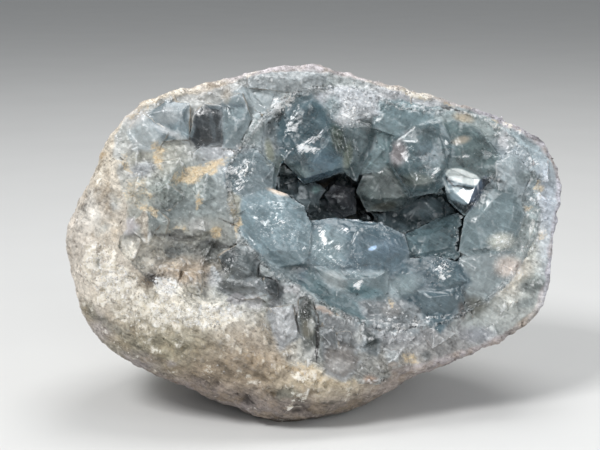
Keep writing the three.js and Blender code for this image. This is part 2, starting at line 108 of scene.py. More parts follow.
class Signal:
    """An output socket of a node, for use in expressions."""

    def __init__(self, tree, socket):
        self.tree = tree
        self.socket = socket

    def math(self, operation, *values):
        node = add_node(self.tree, "ShaderNodeMath", {"operation": operation}, dict(enumerate(values)))
        return Signal(self.tree, node.outputs[0])

    def __add__(self, other):
        return self.math("ADD", self, other)

    __radd__ = __add__

    def __sub__(self, other):
        return self.math("SUBTRACT", self, other)

    def __rsub__(self, other):
        return self.math("SUBTRACT", other, self)

    def __mul__(self, other):
        return self.math("MULTIPLY", self, other)

    __rmul__ = __mul__

    def capped(self):
        return self.math("MINIMUM", self, 1.0)

    def eased(self, low, high):
        settings = {"interpolation_type": "SMOOTHSTEP"}
        sockets = {"Value": self, "From Min": low, "From Max": high}
        node = add_node(self.tree, "ShaderNodeMapRange", settings, sockets)
        return Signal(self.tree, node.outputs["Result"])


class Finish:
    """A material under construction."""

    def __init__(self, name):
        self.material = bpy.data.materials.new(name)
        self.material.use_nodes = True
        self.tree = self.material.node_tree
        self.tree.nodes.clear()
        self.place = self.signal("ShaderNodeTexCoord", output="Object")

    def signal(self, kind, settings=None, output=0, **sockets):
        named = {name.replace("_", " "): value for name, value in sockets.items()}
        return Signal(self.tree, add_node(self.tree, kind, settings, named).outputs[output])

    def attribute(self, name, output="Fac"):
        return self.signal("ShaderNodeAttribute", {"attribute_name": name}, output)

    def stretched(self, sizes, turn):
        """Places in units of three sizes, given in millimetres, along turned axes."""
        scale = tuple(size * MM for size in sizes)
        settings = {"vector_type": "TEXTURE"}
        return self.signal("ShaderNodeMapping", settings, Vector=self.place, Scale=scale, Rotation=turn)

    def noise(self, size, detail=3, roughness=0.55, distortion=0, turn=None):
        """Noise with features of about `size` millimetres, or of three sizes along turned axes."""
        sockets = {"Detail": detail, "Roughness": roughness, "Distortion": distortion}
        if turn:
            sockets.update(Vector=self.stretched(size, turn), Scale=1)
        else:
            sockets.update(Vector=self.place, Scale=1 / (size * MM))
        return self.signal("ShaderNodeTexNoise", **sockets)

    def grains(self, size):
        """Cells of about `size` millimetres, each with its own random colour."""
        return self.signal("ShaderNodeTexVoronoi", None, "Color", Vector=self.place, Scale=1 / (size * MM))

    def flakes(self, sizes, turn, share):
        """Small flakes of three sizes along turned axes: a share of a stretched pattern's cells."""
        sockets = {"Vector": self.stretched(sizes, turn), "Scale": 1.0}
        cells = add_node(self.tree, "ShaderNodeTexVoronoi", None, sockets)
        chosen = self.channel(Signal(self.tree, cells.outputs["Color"])).eased(1 - share, 1.02 - share)
        return chosen * (1 - Signal(self.tree, cells.outputs["Distance"]).eased(0.26, 0.42))

    def channel(self, colour, name="Red"):
        return self.signal("ShaderNodeSeparateColor", output=name, Color=colour)

    def mixed(self, share, first, second, blend="MIX"):
        settings = {"data_type": "RGBA", "blend_type": blend}
        node = add_node(self.tree, "ShaderNodeMix", settings, {0: share, 6: first, 7: second})
        return Signal(self.tree, node.outputs[2])

    def shaded(self, colour, amount):
        """The colour times a changing amount."""
        grey = self.signal("ShaderNodeCombineColor", Red=amount, Green=amount, Blue=amount)
        return self.mixed(1.0, colour, grey, "MULTIPLY")

    def vector(self, operation, first, second):
        sockets = {0: first, "Scale" if operation == "SCALE" else 1: second}
        node = add_node(self.tree, "ShaderNodeVectorMath", {"operation": operation}, sockets)
        return Signal(self.tree, node.outputs[0])

    def glinting(self, size, tilt):
        """The surface's normal, tilted at random from grain to grain."""
        centred = self.vector("SUBTRACT", self.grains(size), (0.5, 0.5, 0.5))
        normal = self.signal("ShaderNodeNewGeometry", output="Normal")
        tilted = self.vector("ADD", normal, self.vector("SCALE", centred, tilt))
        return self.signal("ShaderNodeVectorMath", {"operation": "NORMALIZE"}, Vector=tilted)

    def bump(self, height, strength, distance, normal=None):
        sockets = {"Height": height, "Strength": strength, "Distance": distance * MM}
        if normal:
            sockets["Normal"] = normal
        return Signal(self.tree, add_node(self.tree, "ShaderNodeBump", None, sockets).outputs[0])

    def shader(self, kind="ShaderNodeBsdfPrincipled", **sockets):
        return self.signal(kind, **sockets)

    def blended(self, share, first, second):
        node = add_node(self.tree, "ShaderNodeMixShader", None, {0: share, 1: first, 2: second})
        return Signal(self.tree, node.outputs[0])

    def finished(self, surface, volume=None):
        sockets = {"Surface": surface}
        if volume:
            sockets["Volume"] = volume
        add_node(self.tree, "ShaderNodeOutputMaterial", None, sockets)
        return self.material


# Finishes

OCHRE = rgba(180, 150, 108)
PALE_OCHRE = rgba(232, 216, 184)
FROST = rgba(240, 241, 242)
HIGHLIGHT = rgba(252, 253, 254)
SUGAR_SHADE = rgba(196, 190, 178)
WARM_EARTH = rgba(170, 147, 114)
CREAM, CHALK_WHITE = rgba(214, 203, 180), rgba(251, 247, 238)
PORE = rgba(92, 84, 74)
CLEAR_TINT = (0.93, 0.965, 0.97, 1)
CELESTITE_IOR = 1.63


def massive_shader(f):
    """Massive milky celestite: a soft mosaic of grains, veils, sugary druse and ochre stains, with painted
    sparkle and painted highlights laid in its colour.
    """
    tint = f.attribute("tint", "Color")
    grain = f.attribute("grain")
    glint = f.attribute("glint")
    polish = f.attribute("polish")

    coarse = f.channel(f.grains(3.4)) - 0.5
    middle = f.channel(f.grains(1.5), "Green") - 0.5
    fine = f.channel(f.grains(0.7), "Blue") - 0.5
    mosaic = 1 + (grain + 0.12) * (coarse * 0.3 + middle * 0.45 + fine * 0.4)
    drift = 0.5 + f.noise(5, 5, 0.62) * 0.6
    wisps = f.noise((9, 4, 1.1), 4, 0.62, 0.8, (0.2, 0.5, 0.3)).eased(0.5, 0.76)
    veils = f.noise(4.5, 5, 0.7, 0.8).eased(0.5, 0.74)
    colour = f.shaded(tint, mosaic * drift * (1 + wisps * 0.55 + veils * 0.4))
    colour = f.mixed(wisps * 0.05 + veils * 0.03, colour, FROST)

    worn = f.attribute("edge").eased(0.05, 0.22) * f.noise(1.1, 3).eased(0.4, 0.6)
    colour = f.mixed(worn * 0.35, colour, FROST)

    speck = f.channel(f.grains(0.8), "Red")
    crumbled = (f.noise(2.4, 5, 0.72) - 0.5) * 1.5 + (speck - 0.5) * 0.6
    sugar = (f.attribute("sugar") + crumbled).eased(0.5, 0.74)
    colour = f.mixed(sugar * 0.8, colour, f.mixed(speck, SUGAR_SHADE, FROST))

    # painted sparkle: small white flakes laid in the colour of the glint zones
    clumps = f.noise(3.2, 3, 0.6).eased(0.44, 0.6)
    rising = f.flakes((1.4, 0.6, 0.22), (0, -0.7, 0.2), 0.2)
    falling = f.flakes((1.0, 0.6, 0.2), (0, 0.5, -0.2), 0.16)
    crumbs = f.flakes((0.45, 0.4, 0.28), (0.3, 0, 0), 0.1)
    flakes = glint * (clumps * (rising + falling) + crumbs)

    # painted highlights: white glare with fibrous borders, laid in the colour together with the painted
    # sparkle
    fibres = f.noise((1.8, 0.8, 0.2), 3, 0.6, 0.5, (0, -0.6, 0)) - 0.5
    lumps = f.noise(1.2, 4, 0.7) - 0.5
    painted_highlight = (f.attribute("painted_highlight") * 0.9 + fibres * 2.4 + lumps * 1.4).eased(0.5, 0.78)
    painted_glints = (flakes + painted_highlight).capped()
    colour = f.mixed(painted_glints * 0.84, colour, HIGHLIGHT)

    feathers = f.noise((2.2, 1.2, 0.6), 5, 0.75, 0.9, (0, -0.45, 0)) - 0.5
    stain = (f.attribute("ochre") + (f.noise(1.6, 6, 0.8) - 0.5) * 2.4 + feathers * 1.6).eased(0.4, 1.25)
    ochre = f.mixed((f.noise(0.7, 4, 0.7) - 0.5) * 2.6 + feathers + 0.5, OCHRE, PALE_OCHRE)
    colour = f.mixed(stain * 0.85, colour, ochre)

    matt = 0.12 + grain * 0.25 + f.noise(2.2, 3) * 0.26 + stain * 0.3 - glint * 0.06
    dull = matt * (1 - polish * 0.85)
    tilt = (0.05 + grain * 0.8 + glint * 0.4) * (1 - polish)
    height = f.noise(1.3, 4, 0.65) + stain * f.noise(0.6, 3) + painted_glints * 0.6
    ripple = f.bump(height, 0.25, 0.4, f.glinting(0.8, tilt))
    return f.shader(
        Base_Color=colour,
        Roughness=dull,
        IOR=CELESTITE_IOR,
        Subsurface_Weight=0.3,
        Subsurface_Radius=(1.0, 1.15, 1.25),
        Subsurface_Scale=1.8 * MM,
        Normal=ripple,
    )


def stone_finish():
    """Chalky rind outside, and sparkling massive celestite across the broken face."""
    f = Finish("rind and massive celestite")
    tint = f.attribute("tint", "Color")

    blotches = f.noise(7, 6, 0.7) - 0.5
    crumbs = f.channel(f.grains(1.0), "Green") - 0.5
    fine = f.noise(0.9, 4, 0.7) - 0.5
    waves = f.noise((8, 8, 1.3), 5, 0.65, 1.2, (0, 0.4, 0)) - 0.5
    chalk = f.shaded(tint, 0.88 + blotches * 2.3 + crumbs * 0.24 + fine * 1.3 + waves * 1.4)
    white = f.attribute("sugar")
    warm = f.noise(6, 4, 0.6).eased(0.46, 0.64) * (1 - white)
    chalk = f.mixed(warm * 0.34, chalk, f.shaded(WARM_EARTH, 0.8 + fine + waves * 1.4))
    crust = (f.noise(5, 6, 0.7) + white * 0.34 + crumbs * 0.04).eased(0.58, 0.68)
    chalk = f.mixed(crust * 0.86, chalk, f.mixed(crumbs + 0.6, CREAM, CHALK_WHITE))
    pores = 1 - f.noise(1.2, 5, 0.8).eased(0.35, 0.43)
    chalk = f.mixed(pores * 0.75, chalk, PORE)
    stain = (f.attribute("ochre") + (f.noise(2.0, 5, 0.8) - 0.5) * 2.0).eased(0.5, 1.0)
    chalk = f.mixed(stain * 0.6, chalk, OCHRE)
    rough = f.bump(f.noise(0.6, 4, 0.75), 0.55, 0.5, f.bump(f.noise(2.0, 5, 0.7), 0.9, 1.0))
    rind = f.shader(Base_Color=chalk, Roughness=0.93, Specular_IOR_Level=0.22, Normal=rough)
    return f.finished(f.blended(f.attribute("rind"), massive_shader(f), rind))


def crystal_finish():
    """Blue-grey celestite: clear depths with milky clouds."""
    f = Finish("blue-grey celestite")
    wisps = f.noise((8, 3, 3), 5, 0.62, 1.5, (0.4, 0.2, 0.7))
    drift = (f.noise(6, 4, 0.6) - 0.5) * 0.9 + (wisps - 0.5) * 0.5
    milky = (f.attribute("cloud") + drift).eased(0.0, 0.7)
    clear = f.shader(
        Base_Color=CLEAR_TINT,
        Roughness=0.05 + f.noise(4, 3) * 0.12,
        IOR=CELESTITE_IOR,
        Transmission_Weight=1.0,
        Normal=f.bump(f.noise(3.0, 4, 0.6), 0.3, 0.5),
    )
    depth = f.shader("ShaderNodeVolumeAbsorption", Color=rgba(150, 186, 196), Density=60.0)
    return f.finished(f.blended(milky, clear, massive_shader(f)), depth)


def druse_finish():
    f = Finish("sugary druse")
    return f.finished(massive_shader(f))


def floor_finish():
    f = Finish("pale studio floor")
    shade = 0.97 + f.noise(60, 2) * 0.06
    return f.finished(f.shader(Base_Color=f.shaded((0.66, 0.66, 0.65, 1), shade), Roughness=0.85))


# The nodule's outline about the face frame's origin, at even steps of angle, and its depths

NODULE_RADII = np.array(
    [72.4, 78, 65.5, 55, 52, 52.4, 53.7, 56.4, 66.9, 67.8]
    + [73.2, 71.8, 63.5, 57.3, 54.1, 53.2, 51.7, 49.5, 56.3, 70]
)
NODULE_MIDDLE, NODULE_FRONT, NODULE_BACK, NODULE_CORNER = -10, 25, 60, 2.5


def under_rind(face):
    """How deep each point lies below the nodule's first surface, in millimetres."""
    place = np.arctan2(face[:, 2], face[:, 0]) % (2 * math.pi) * len(NODULE_RADII) / (2 * math.pi)
    first = np.floor(place).astype(int)
    t = place - first
    a, b, c, d = (NODULE_RADII[(first + step) % len(NODULE_RADII)] for step in (-1, 0, 1, 2))
    outline = b + 0.5 * t * (c - a + t * (2 * a - 5 * b + 4 * c - d + t * (3 * (b - c) + d - a)))
    depth = face[:, 1] - NODULE_MIDDLE
    half = np.where(depth < 0, NODULE_FRONT, NODULE_BACK)
    across = np.hypot(face[:, 0], face[:, 2])
    share = (across / outline) ** NODULE_CORNER + (np.abs(depth) / half) ** NODULE_CORNER
    return (share ** (-1 / NODULE_CORNER) - 1) * np.hypot(across, depth)


# The crystals that show, from the deepest to the foremost: outline on the face, depth, screen
# colour, how milky and how grainy they are

POCKET_CRYSTALS = {
    "deep_centre": (
        [[3, 14], [7, 18], [13, 17], [14, 8], [9.6, 6], [4, 9.6]],
        11, (132, 134, 140), 0.9, 0),
    "deep_right": (
        [[19, 13], [32.5, 17], [42, 15], [43, 7.6], [37.1, 2.6], [29, 1], [20.4, 4.4]],
        11, (120, 137, 143), 0.85, 0),
    "deep_left": ([[-8, 17], [-1, 19], [4, 15.4], [2, 9], [-6, 8]], 5, (112, 124, 128), 0.8, 0),
    "right_block_foot": (
        [[13, 14.4], [15.4, 20.4], [23.4, 25], [30.6, 19], [33, 13.4], [26, 8.7], [16.4, 8.5]],
        0.5, (104, 114, 113), 0.5, 0),
    # painted shadow: the nook's crystal is coloured dark for the shade in the nook
    "dark_nook": ([[-15, 36], [-9.5, 40], [-6, 34], [-9, 25], [-14, 20.6]], 0, (52, 64, 66), 0.3, 0),
    "right_floor": (
        [[27.6, 1.6], [38.6, 7], [46.6, 9], [45.4, -3.4], [35.6, -8], [27, -7]],
        -0.5, (108, 130, 136), 0.45, 0.05),
    "between_blocks": (
        [[17, 36], [22, 38], [27, 32], [25, 24], [19, 20.6], [14, 19.6], [15.4, 26]],
        -2.5, (134, 156, 160), 0.5, 0.1),
    "mirror_facet": (
        [[38.2, 20.4], [40.6, 22.6], [50.2, 19.6], [54, 19.2], [47.6, 9.4], [45, 7.4], [40.6, 12]],
        -4, (120, 138, 146), 0.15, 0),
    "beside_block": (
        [[5.6, 34.5], [11, 37.4], [19.4, 36.4], [19.2, 29.5], [16, 24.5], [13, 17.8], [9.4, 20.4]],
        -4.5, (92, 107, 110), 0.45, 0.05),
    "hanging_block": (
        [[-11, 34.7], [-6.8, 40], [-2.1, 43.4], [2.4, 41.6], [7.9, 34.6], [10.2, 21]]
        + [[-2.8, 16.7], [-9.9, 25]],
        -6, (80, 102, 110), 0.5, 0.03),
    "right_upper": (
        [[36.6, 34], [42, 36], [50, 33.4], [56, 24.9], [54.4, 18.6], [47.6, 18.4], [39.4, 22]],
        -6.5, (102, 120, 122), 0.45, 0.05),
    "top_right_plate": (
        [[17.4, 40.6], [26.4, 42.4], [36.6, 39], [35.4, 34.4], [26.4, 30.4], [18, 33.4]],
        -7, (118, 138, 143), 0.55, 0.15),
    "top_middle": (
        [[0, 43.6], [8, 46.4], [18.6, 44], [20, 37.4], [12, 35.6], [4, 39.6]],
        -7, (172, 176, 180), 0.9, 0.7),
    "right_block": (
        [[23.2, 30], [30, 34], [37.7, 36], [42.6, 28.4], [40.4, 20], [37, 14], [29, 12.6], [22.4, 23]],
        -7.5, (92, 112, 117), 0.45, 0.03),
    "right_edge": (
        [[54.4, 23], [60.6, 26.4], [65.4, 20], [62.4, 13.4], [55.4, 15]],
        -8, (150, 161, 165), 0.8, 0.3),
    "right_slab": (
        [[50.4, 14.8], [59.3, 16], [63.4, 7.6], [58.8, -4], [47.7, -6], [43, -3.4], [44.5, 6]],
        -9.5, (112, 128, 132), 0.65, 0.1),
    "top_left_plate": (
        [[-24, 44.2], [-15.5, 47.4], [-8.6, 45.4], [-10.6, 39], [-14.6, 33.6], [-19.6, 40.4]],
        -10, (168, 178, 181), 0.9, 0.08),
    "right_low_slab": (
        [[43, -5], [57, -3.6], [59, -10.6], [51, -18.6], [43.8, -17.8]],
        -11, (138, 148, 150), 0.75, 0.3),
    "left_of_block": (
        [[-19.6, 40.8], [-14.4, 34.5], [-15.6, 27.4], [-24.6, 28.6], [-26.4, 37.4]],
        -11.5, (142, 152, 153), 0.8, 0.25),
    "lower_right": (
        [[21.4, -9], [28, -5.4], [35.6, -4.6], [43.6, -6.4], [46.8, -12.2], [42.3, -18.4]]
        + [[31, -20.4], [22, -16.4]],
        -12.5, (66, 87, 96), 0.6, 0.1),
    "low_wedge": (
        [[-10.4, -6.8], [-2.4, -6], [6.4, -13.6], [12.6, -17], [16.4, -24.4], [6.4, -25.6]]
        + [[-0.3, -16], [-5, -13]],
        -12.5, (106, 126, 131), 0.55, 0.15),
    "centre_dome": (
        [[-1.2, 6], [9.2, 6.8], [20, 5.2], [27, 1.8], [28.6, -3.6], [26.4, -7.8], [22.1, -10], [11, -12.4]]
        + [[0.2, -9.2], [-2.6, -5.4]],
        -12.5, (88, 108, 118), 0.6, 0.06),
    "left_block": (
        [[-17.4, 27.4], [-11.2, 22], [-12.6, 13.4], [-21.3, 12.4], [-27, 16.4], [-25.4, 24.4]],
        -13, (110, 124, 129), 0.6, 0.1),
    "low_plate": (
        [[12, -16.6], [22.4, -15.4], [32, -20], [31, -27.4], [17.5, -27]],
        -13.5, (122, 128, 131), 0.9, 0.6),
    "centre_foot": (
        [[0, -7.6], [10, -8.8], [22.4, -8.6], [22, -15.4], [12.6, -18], [6, -14.6]],
        -14.5, (118, 135, 140), 0.65, 0.1),
    "arrow_facet": (
        [[30.4, -14.6], [42.8, -13.4], [44.4, -18.4], [37, -27.4], [32, -23]],
        -14.5, (84, 103, 111), 0.55, 0.02),
    "left_dome": (
        [[-21.4, 12.4], [-16, 14.6], [-12.8, 15.4], [-7.2, 13.2], [-2.6, 9.9], [-0.7, 5], [-1.2, -2.7]]
        + [[-2.8, -6.8], [-10.4, -8], [-17.8, -2.6], [-21.6, 2]],
        -15.5, (124, 143, 150), 0.65, 0.05),
}
BEDDED_CRYSTALS = {
    "low_grey": (
        [[-12.4, -12.4], [-4, -13.4], [-3.6, -27], [-9.6, -31.6], [-13.4, -22]],
        -23, (168, 169, 170), 1, 0.6),
    "left_dark_foot": (
        [[-28, -14], [-23.4, -9.8], [-15.2, -10.6], [-13.4, -15.4], [-21.2, -17]],
        -22.5, (104, 108, 109), 1, 0.4),
    "left_dark_twin": (
        [[-27.6, -4.6], [-21.5, -0.8], [-16.4, -4.3], [-16.4, -10.6], [-23, -12]],
        -22, (82, 88, 89), 1, 0.35),
    "left_dark_end": (
        [[-14.2, -10.8], [-11, -11], [-8.4, -15.9], [-11.4, -17.8], [-15, -15.2]],
        -22, (90, 95, 97), 1, 0.4),
    "upright_dark": (
        [[-4.2, -17.2], [-1, -16.8], [1.4, -22.8], [0.8, -33.4], [-3.3, -30.4], [-4.8, -22.8]],
        -21.5, (92, 95, 91), 1, 0.3),
    "mid_grey": (
        [[1.8, -20], [12, -22], [14.4, -30], [10, -36], [2.4, -34]],
        -20, (112, 115, 116), 1, 0.6),
    "low_brown": (
        [[3, -30], [11, -30.4], [14, -35], [9, -40.6], [3.2, -38]],
        -19, (118, 114, 110), 1, 0.4),
    "low_dark": ([[14.2, -24], [19.6, -29], [18.6, -34], [14, -32]], -18.5, (84, 91, 93), 1, 0.2),
    "upper_corner": (
        [[-55, 32], [-50, 37], [-42.5, 32], [-45, 26.4], [-52.6, 26.4]],
        -16, (170, 178, 180), 1, 0.15),
    "upper_pale": (
        [[-49.3, 37], [-43.5, 41], [-36.6, 40.4], [-36.4, 29.4], [-43.5, 29]],
        -15, (110, 124, 130), 1, 0.05),
    "beside_dark": (
        [[-27.4, 41.6], [-21, 43.6], [-18.4, 36], [-22.4, 27.4], [-27, 27]],
        -14, (119, 132, 136), 1, 0.1),
    # painted shade: this block's colour is darkened for the shade on it
    "upper_dark": (
        [[-35, 37.4], [-32.2, 40.4], [-27, 39.8], [-26.4, 28], [-34.8, 27.4], [-36.8, 29.5]],
        -14, (42, 49, 53), 1, 0.03),
    "top_block": (
        [[-20, 49.4], [-8, 51.4], [4, 49.6], [1, 43.6], [-9, 44.4], [-19, 45.4]],
        -9.5, (150, 156, 158), 1, 0.5),
    "grey_pebble": (
        [[-61.7, 8], [-58, 11], [-54.6, 9.4], [-55, 5.4], [-59.6, 4.6]],
        -30, (152, 155, 154), 1, 0.05),
    "lilac_pebble": (
        [[-57, 5], [-52, 6.8], [-49.4, 4.4], [-51.4, 1.8], [-55.6, 2.2]],
        -31, (184, 179, 179), 1, 0.05),
}

PALE_RIM = (196, 206, 212)
ALL_CRYSTALS = {**POCKET_CRYSTALS, **BEDDED_CRYSTALS}

# Broad tints that fade into each other: place, spread, screen colour and strength

BROKEN_TINTS = [
    ((-38, 46), (15, 5), (184, 182, 178), 1.0),
    ((-12, 50), (14, 4), (152, 158, 160), 1.2),
    ((10, 48), (12, 4), (186, 190, 190), 1.0),
    ((-23, 28), (8, 4.5), (182, 184, 188), 1.4),
    ((-21, 21), (5, 4), (166, 177, 182), 1.4),
    ((-40, 12), (9, 7), (124, 133, 132), 1.8),
    ((-46, 24), (7, 7), (172, 170, 158), 1.2),
    ((-59, 18), (7, 9), (190, 188, 182), 1.0),
    ((-52, 12), (6, 5), (166, 162, 148), 1.0),
    ((-48, -3), (12, 3.6), (188, 183, 172), 1.8),
    ((-51, -4), (4, 3.6), (206, 200, 188), 2.0),
    ((-34, 3), (7, 3), (168, 166, 156), 1.0),
    ((-30, -4), (6, 3), (116, 118, 114), 1.6),
    ((-37, -8.5), (6.5, 3.2), (172, 152, 130), 1.6),
    ((-47, -12), (4, 3), (116, 110, 102), 1.4),
    ((-44, -22), (11, 7), (204, 195, 176), 1.4),
    ((-30, -21.5), (10, 3.5), (226, 221, 210), 1.6),
    ((-20, -31), (10, 6), (168, 152, 130), 1.8),
    ((-2, -40), (9, 3), (206, 190, 164), 1.2),
    ((26, -26), (9, 6), (140, 141, 144), 1.4),
    ((18, -36), (11, 4), (112, 111, 106), 1.8),
    ((27, -36), (7, 3), (164, 158, 148), 1.6),
    ((38, -33), (10, 5), (146, 143, 141), 1.4),
    ((47, -18), (4, 4), (112, 114, 107), 1.6),
    ((58, -9), (5, 6), (236, 226, 210), 2.0),
    ((58, -2), (6, 3), (210, 212, 202), 1.6),
    ((64, 4), (5, 8), (192, 196, 190), 1.4),
    ((66, -14), (4, 3.5), (116, 126, 124), 1.2),
    ((60, -20), (7, 6), (178, 181, 177), 1.2),
    ((63, 28), (7, 8), (174, 189, 196), 1.4),
    ((70, 12), (3, 12), (198, 205, 216), 1.4),
    ((50, 34), (7, 4), (162, 172, 172), 1.0),
    ((30, 45), (12, 4), (178, 178, 182), 1.0),
    ((6, 46.6), (7, 1.8), (116, 127, 126), 1.6),
]
RIND_TINTS = [
    ((-62, -25), (4, 4), (176, 168, 172), 1.6),
    ((-52, -35), (6, 3), (168, 160, 164), 1.6),
    ((-38, -43), (8, 2.6), (162, 154, 158), 1.6),
    ((-22, -49), (8, 2.2), (158, 150, 152), 1.6),
    ((2, -41), (12, 3.6), (196, 182, 156), 1.8),
    ((26, -43), (10, 4), (158, 146, 140), 1.4),
    ((-62, -10), (9, 12), (214, 205, 192), 1.4),
    ((-70, 6), (6, 18), (216, 208, 198), 1.4),
    ((-52, -24), (12, 6), (186, 177, 158), 1.4),
    ((-46, -31), (12, 4.5), (160, 154, 132), 1.6),
    ((-24, -38), (14, 6), (158, 142, 122), 1.6),
    ((-30, -46), (22, 4), (146, 136, 132), 1.6),
    ((-4, -50), (16, 6), (140, 130, 124), 1.8),
    ((-62, 26), (9, 8), (220, 211, 196), 1.5),
    ((-50, 40), (10, 5), (222, 211, 194), 1.5),
    ((-38, -18), (12, 3.6), (236, 230, 216), 1.6),
    ((0, 54), (40, 5), (210, 204, 208), 1.4),
    ((60, 36), (16, 8), (190, 188, 198), 1.0),
    ((74, 0), (5, 30), (208, 208, 218), 1.6),
    ((50, -36), (24, 8), (166, 159, 162), 1.6),
]
POCKET_EDGE_TINTS = [
    ((-1, -14), (6, 6), (158, 168, 170), 1.0),
    ((-24, 8), (4, 8), (168, 164, 148), 1.0),
    ((-20, 30), (6, 6), (172, 178, 182), 1.0),
    ((14, 40), (9, 6), (176, 178, 182), 1.2),
    ((46, 33), (8, 4), (158, 168, 166), 1.0),
    ((60, 22), (5, 8), (164, 174, 180), 1.0),
    ((61, 2), (5, 8), (158, 166, 164), 1.0),
    ((54, -12), (7, 5), (160, 166, 166), 1.0),
    ((26, -24), (12, 5), (156, 162, 165), 1.2),
    # the two darker tints over the pocket's middle are painted shade of the deep hollow
    ((4, 24), (16, 10), (92, 106, 110), 0.8),
    ((30, 10), (16, 8), (92, 106, 110), 1.0),
]

# Small marks with broken borders: place, half sizes, turn in degrees and amount

OCHRE_STAINS = [
    ((-33, 20.5), (9, 2.4), 24, 1.1),
    ((-45.5, 24.8), (1.8, 5), 8, 1.0),
    ((-54.5, 22), (1.0, 3.6), 15, 0.9),
    ((-50.5, 14), (5, 4.6), 0, 0.62),
    ((-33.5, 11.4), (1.3, 3.2), -10, 1.0),
    ((-47, 8.8), (3, 1.4), -30, 0.9),
    ((-29, 2), (1.9, 1.7), 0, 1.1),
    ((-39, 3.3), (3, 0.9), 8, 0.8),
    ((-21.8, 4), (0.9, 3.6), -6, 0.9),
    ((-24, 9), (1.4, 3), 0, 0.6),
    ((-50.5, 38.6), (8, 1.4), 34, 0.7),
    ((-63.4, 23.4), (4, 1.6), 62, 0.8),
    ((-18, -33), (7, 3), -28, 0.55),
    ((-1, -37.6), (8, 2.0), -18, 0.7),
    ((10, -41), (5, 1.4), 8, 0.6),
    ((28.4, -34.3), (2.4, 1.8), 0, 0.9),
    ((67.6, 15.8), (1.7, 2.2), 30, 0.9),
    ((64.4, 9.4), (2.4, 1.3), -15, 0.8),
    ((69, 1.6), (1.6, 1.8), 0, 0.7),
    ((40.6, 41.4), (2.4, 1.0), -10, 0.8),
    ((54.4, 35.4), (2.8, 1.3), -30, 0.7),
    ((22.6, -18.6), (0.9, 1.6), 0, 0.8),
    ((-37, -8.5), (5.5, 2.6), -10, 0.45),
]
SUGAR_PATCHES = [
    ((-30, -21.5), (11, 3.0), 8, 0.9),
    ((-42.5, -13), (3.2, 2.8), 0, 1.0),
    ((-62, -6), (5, 7), 0, 0.55),
    ((-48, -20), (8, 6), -20, 0.45),
    ((58, -2), (8, 4), 0, 0.3),
    ((58.5, -10), (5, 6), 0, 0.3),
    ((12.6, 39.4), (6, 5.6), 0, 0.42),
    ((-8, 41), (4.6, 1.8), 42, 0.7),
    ((-23, 27), (5, 2.4), 0, 0.35),
    ((-20, 21), (5, 2.6), 20, 0.5),
    ((26, -25), (9, 5), 0, 0.4),
    ((38.6, -8.6), (4, 2.4), 40, 0.4),
    ((66, 6), (4, 12), 0, 0.4),
    ((60, 30), (7, 7), -30, 0.35),
    ((-12, 49), (16, 2.4), 0, 0.3),
    ((22, 45), (16, 2.4), -8, 0.3),
    ((-44, 43), (10, 2), 24, 0.3),
    ((-57, -12), (6, 6), -30, 0.9),
    ((-41, -20), (8, 3.6), -8, 0.7),
    ((-2, -38.6), (6, 1.4), -16, 0.5),
]
# Dark specks, and painted shadow in cracks, crevices and under the lobe's ledge: place, half sizes, turn
# in degrees and amount
DARK_SPECKS_AND_PAINTED_SHADOWS = [
    ((4, -46.4), (2.2, 0.9), 14, 0.7),
    ((-3.6, -45.4), (1.2, 0.9), 0, 0.7),
    ((12, -44.4), (1.6, 0.7), 10, 0.7),
    ((-26, -36), (3, 0.7), -24, 0.5),
    ((-15, -38.6), (2.6, 1.2), -14, 0.6),
    ((-42, 1.8), (12, 0.6), 2, 0.8),
    ((-27, -1.4), (4, 0.8), -14, 0.8),
    ((0.6, -27), (0.6, 6.4), -4, 0.9),
    ((43.4, 39), (6, 0.7), -16, 0.9),
    ((45.4, -17.6), (0.9, 4), 14, 0.8),
    ((-2.4, -19.2), (2, 2.6), 0, 0.6),
    ((-6, -9), (2.4, 2.2), -40, 0.6),
    ((-11.6, -43.6), (1.6, 1.2), 0, 1.0),
    ((-5, -49), (1.8, 1.2), 0, 0.9),
    ((52, 16), (1.4, 7), -32, 0.7),
    ((-19.4, -46.6), (1.4, 1), 0, 0.9),
    ((-46, -11.6), (3, 1.8), -20, 0.7),
    ((66, -13.6), (3.4, 2.4), 0, 0.4),
]
# Glint zones, where grains are tilted to catch the lamps and small white flakes are laid in the colour as
# painted sparkle: place, half sizes, turn in degrees and amount
GLINT_AND_PAINTED_SPARKLE_ZONES = [
    ((0.4, 30), (6, 1.6), 42, 0.9),
    ((-1.2, 27), (3, 2), 30, 1.0),
    ((-10, 4), (8, 5.5), -30, 0.75),
    ((1.4, 1.6), (4, 1.1), 76, 1.0),
    ((5.2, -4.6), (7, 4), -10, 0.7),
    ((12.8, -8.4), (4.4, 2), 10, 0.6),
    ((38, -7.4), (5.6, 2.8), 45, 0.9),
    ((33, 19), (5, 3), 10, 0.6),
    ((25.4, 25.8), (2.6, 3.6), -10, 0.8),
    ((-22, 17), (4.6, 3), 20, 0.8),
    ((-18, 28), (4, 2.2), 0, 0.7),
    ((58, -1), (5, 3), 0, 0.7),
    ((65, -13), (4, 3), 0, 0.6),
    ((9.6, 37), (4, 3), 0, 0.7),
    ((-25, -8), (4, 4), 0, 0.7),
    ((-2, -21), (3, 3), 0, 0.6),
    ((20, 3), (7, 2), -14, 0.4),
]
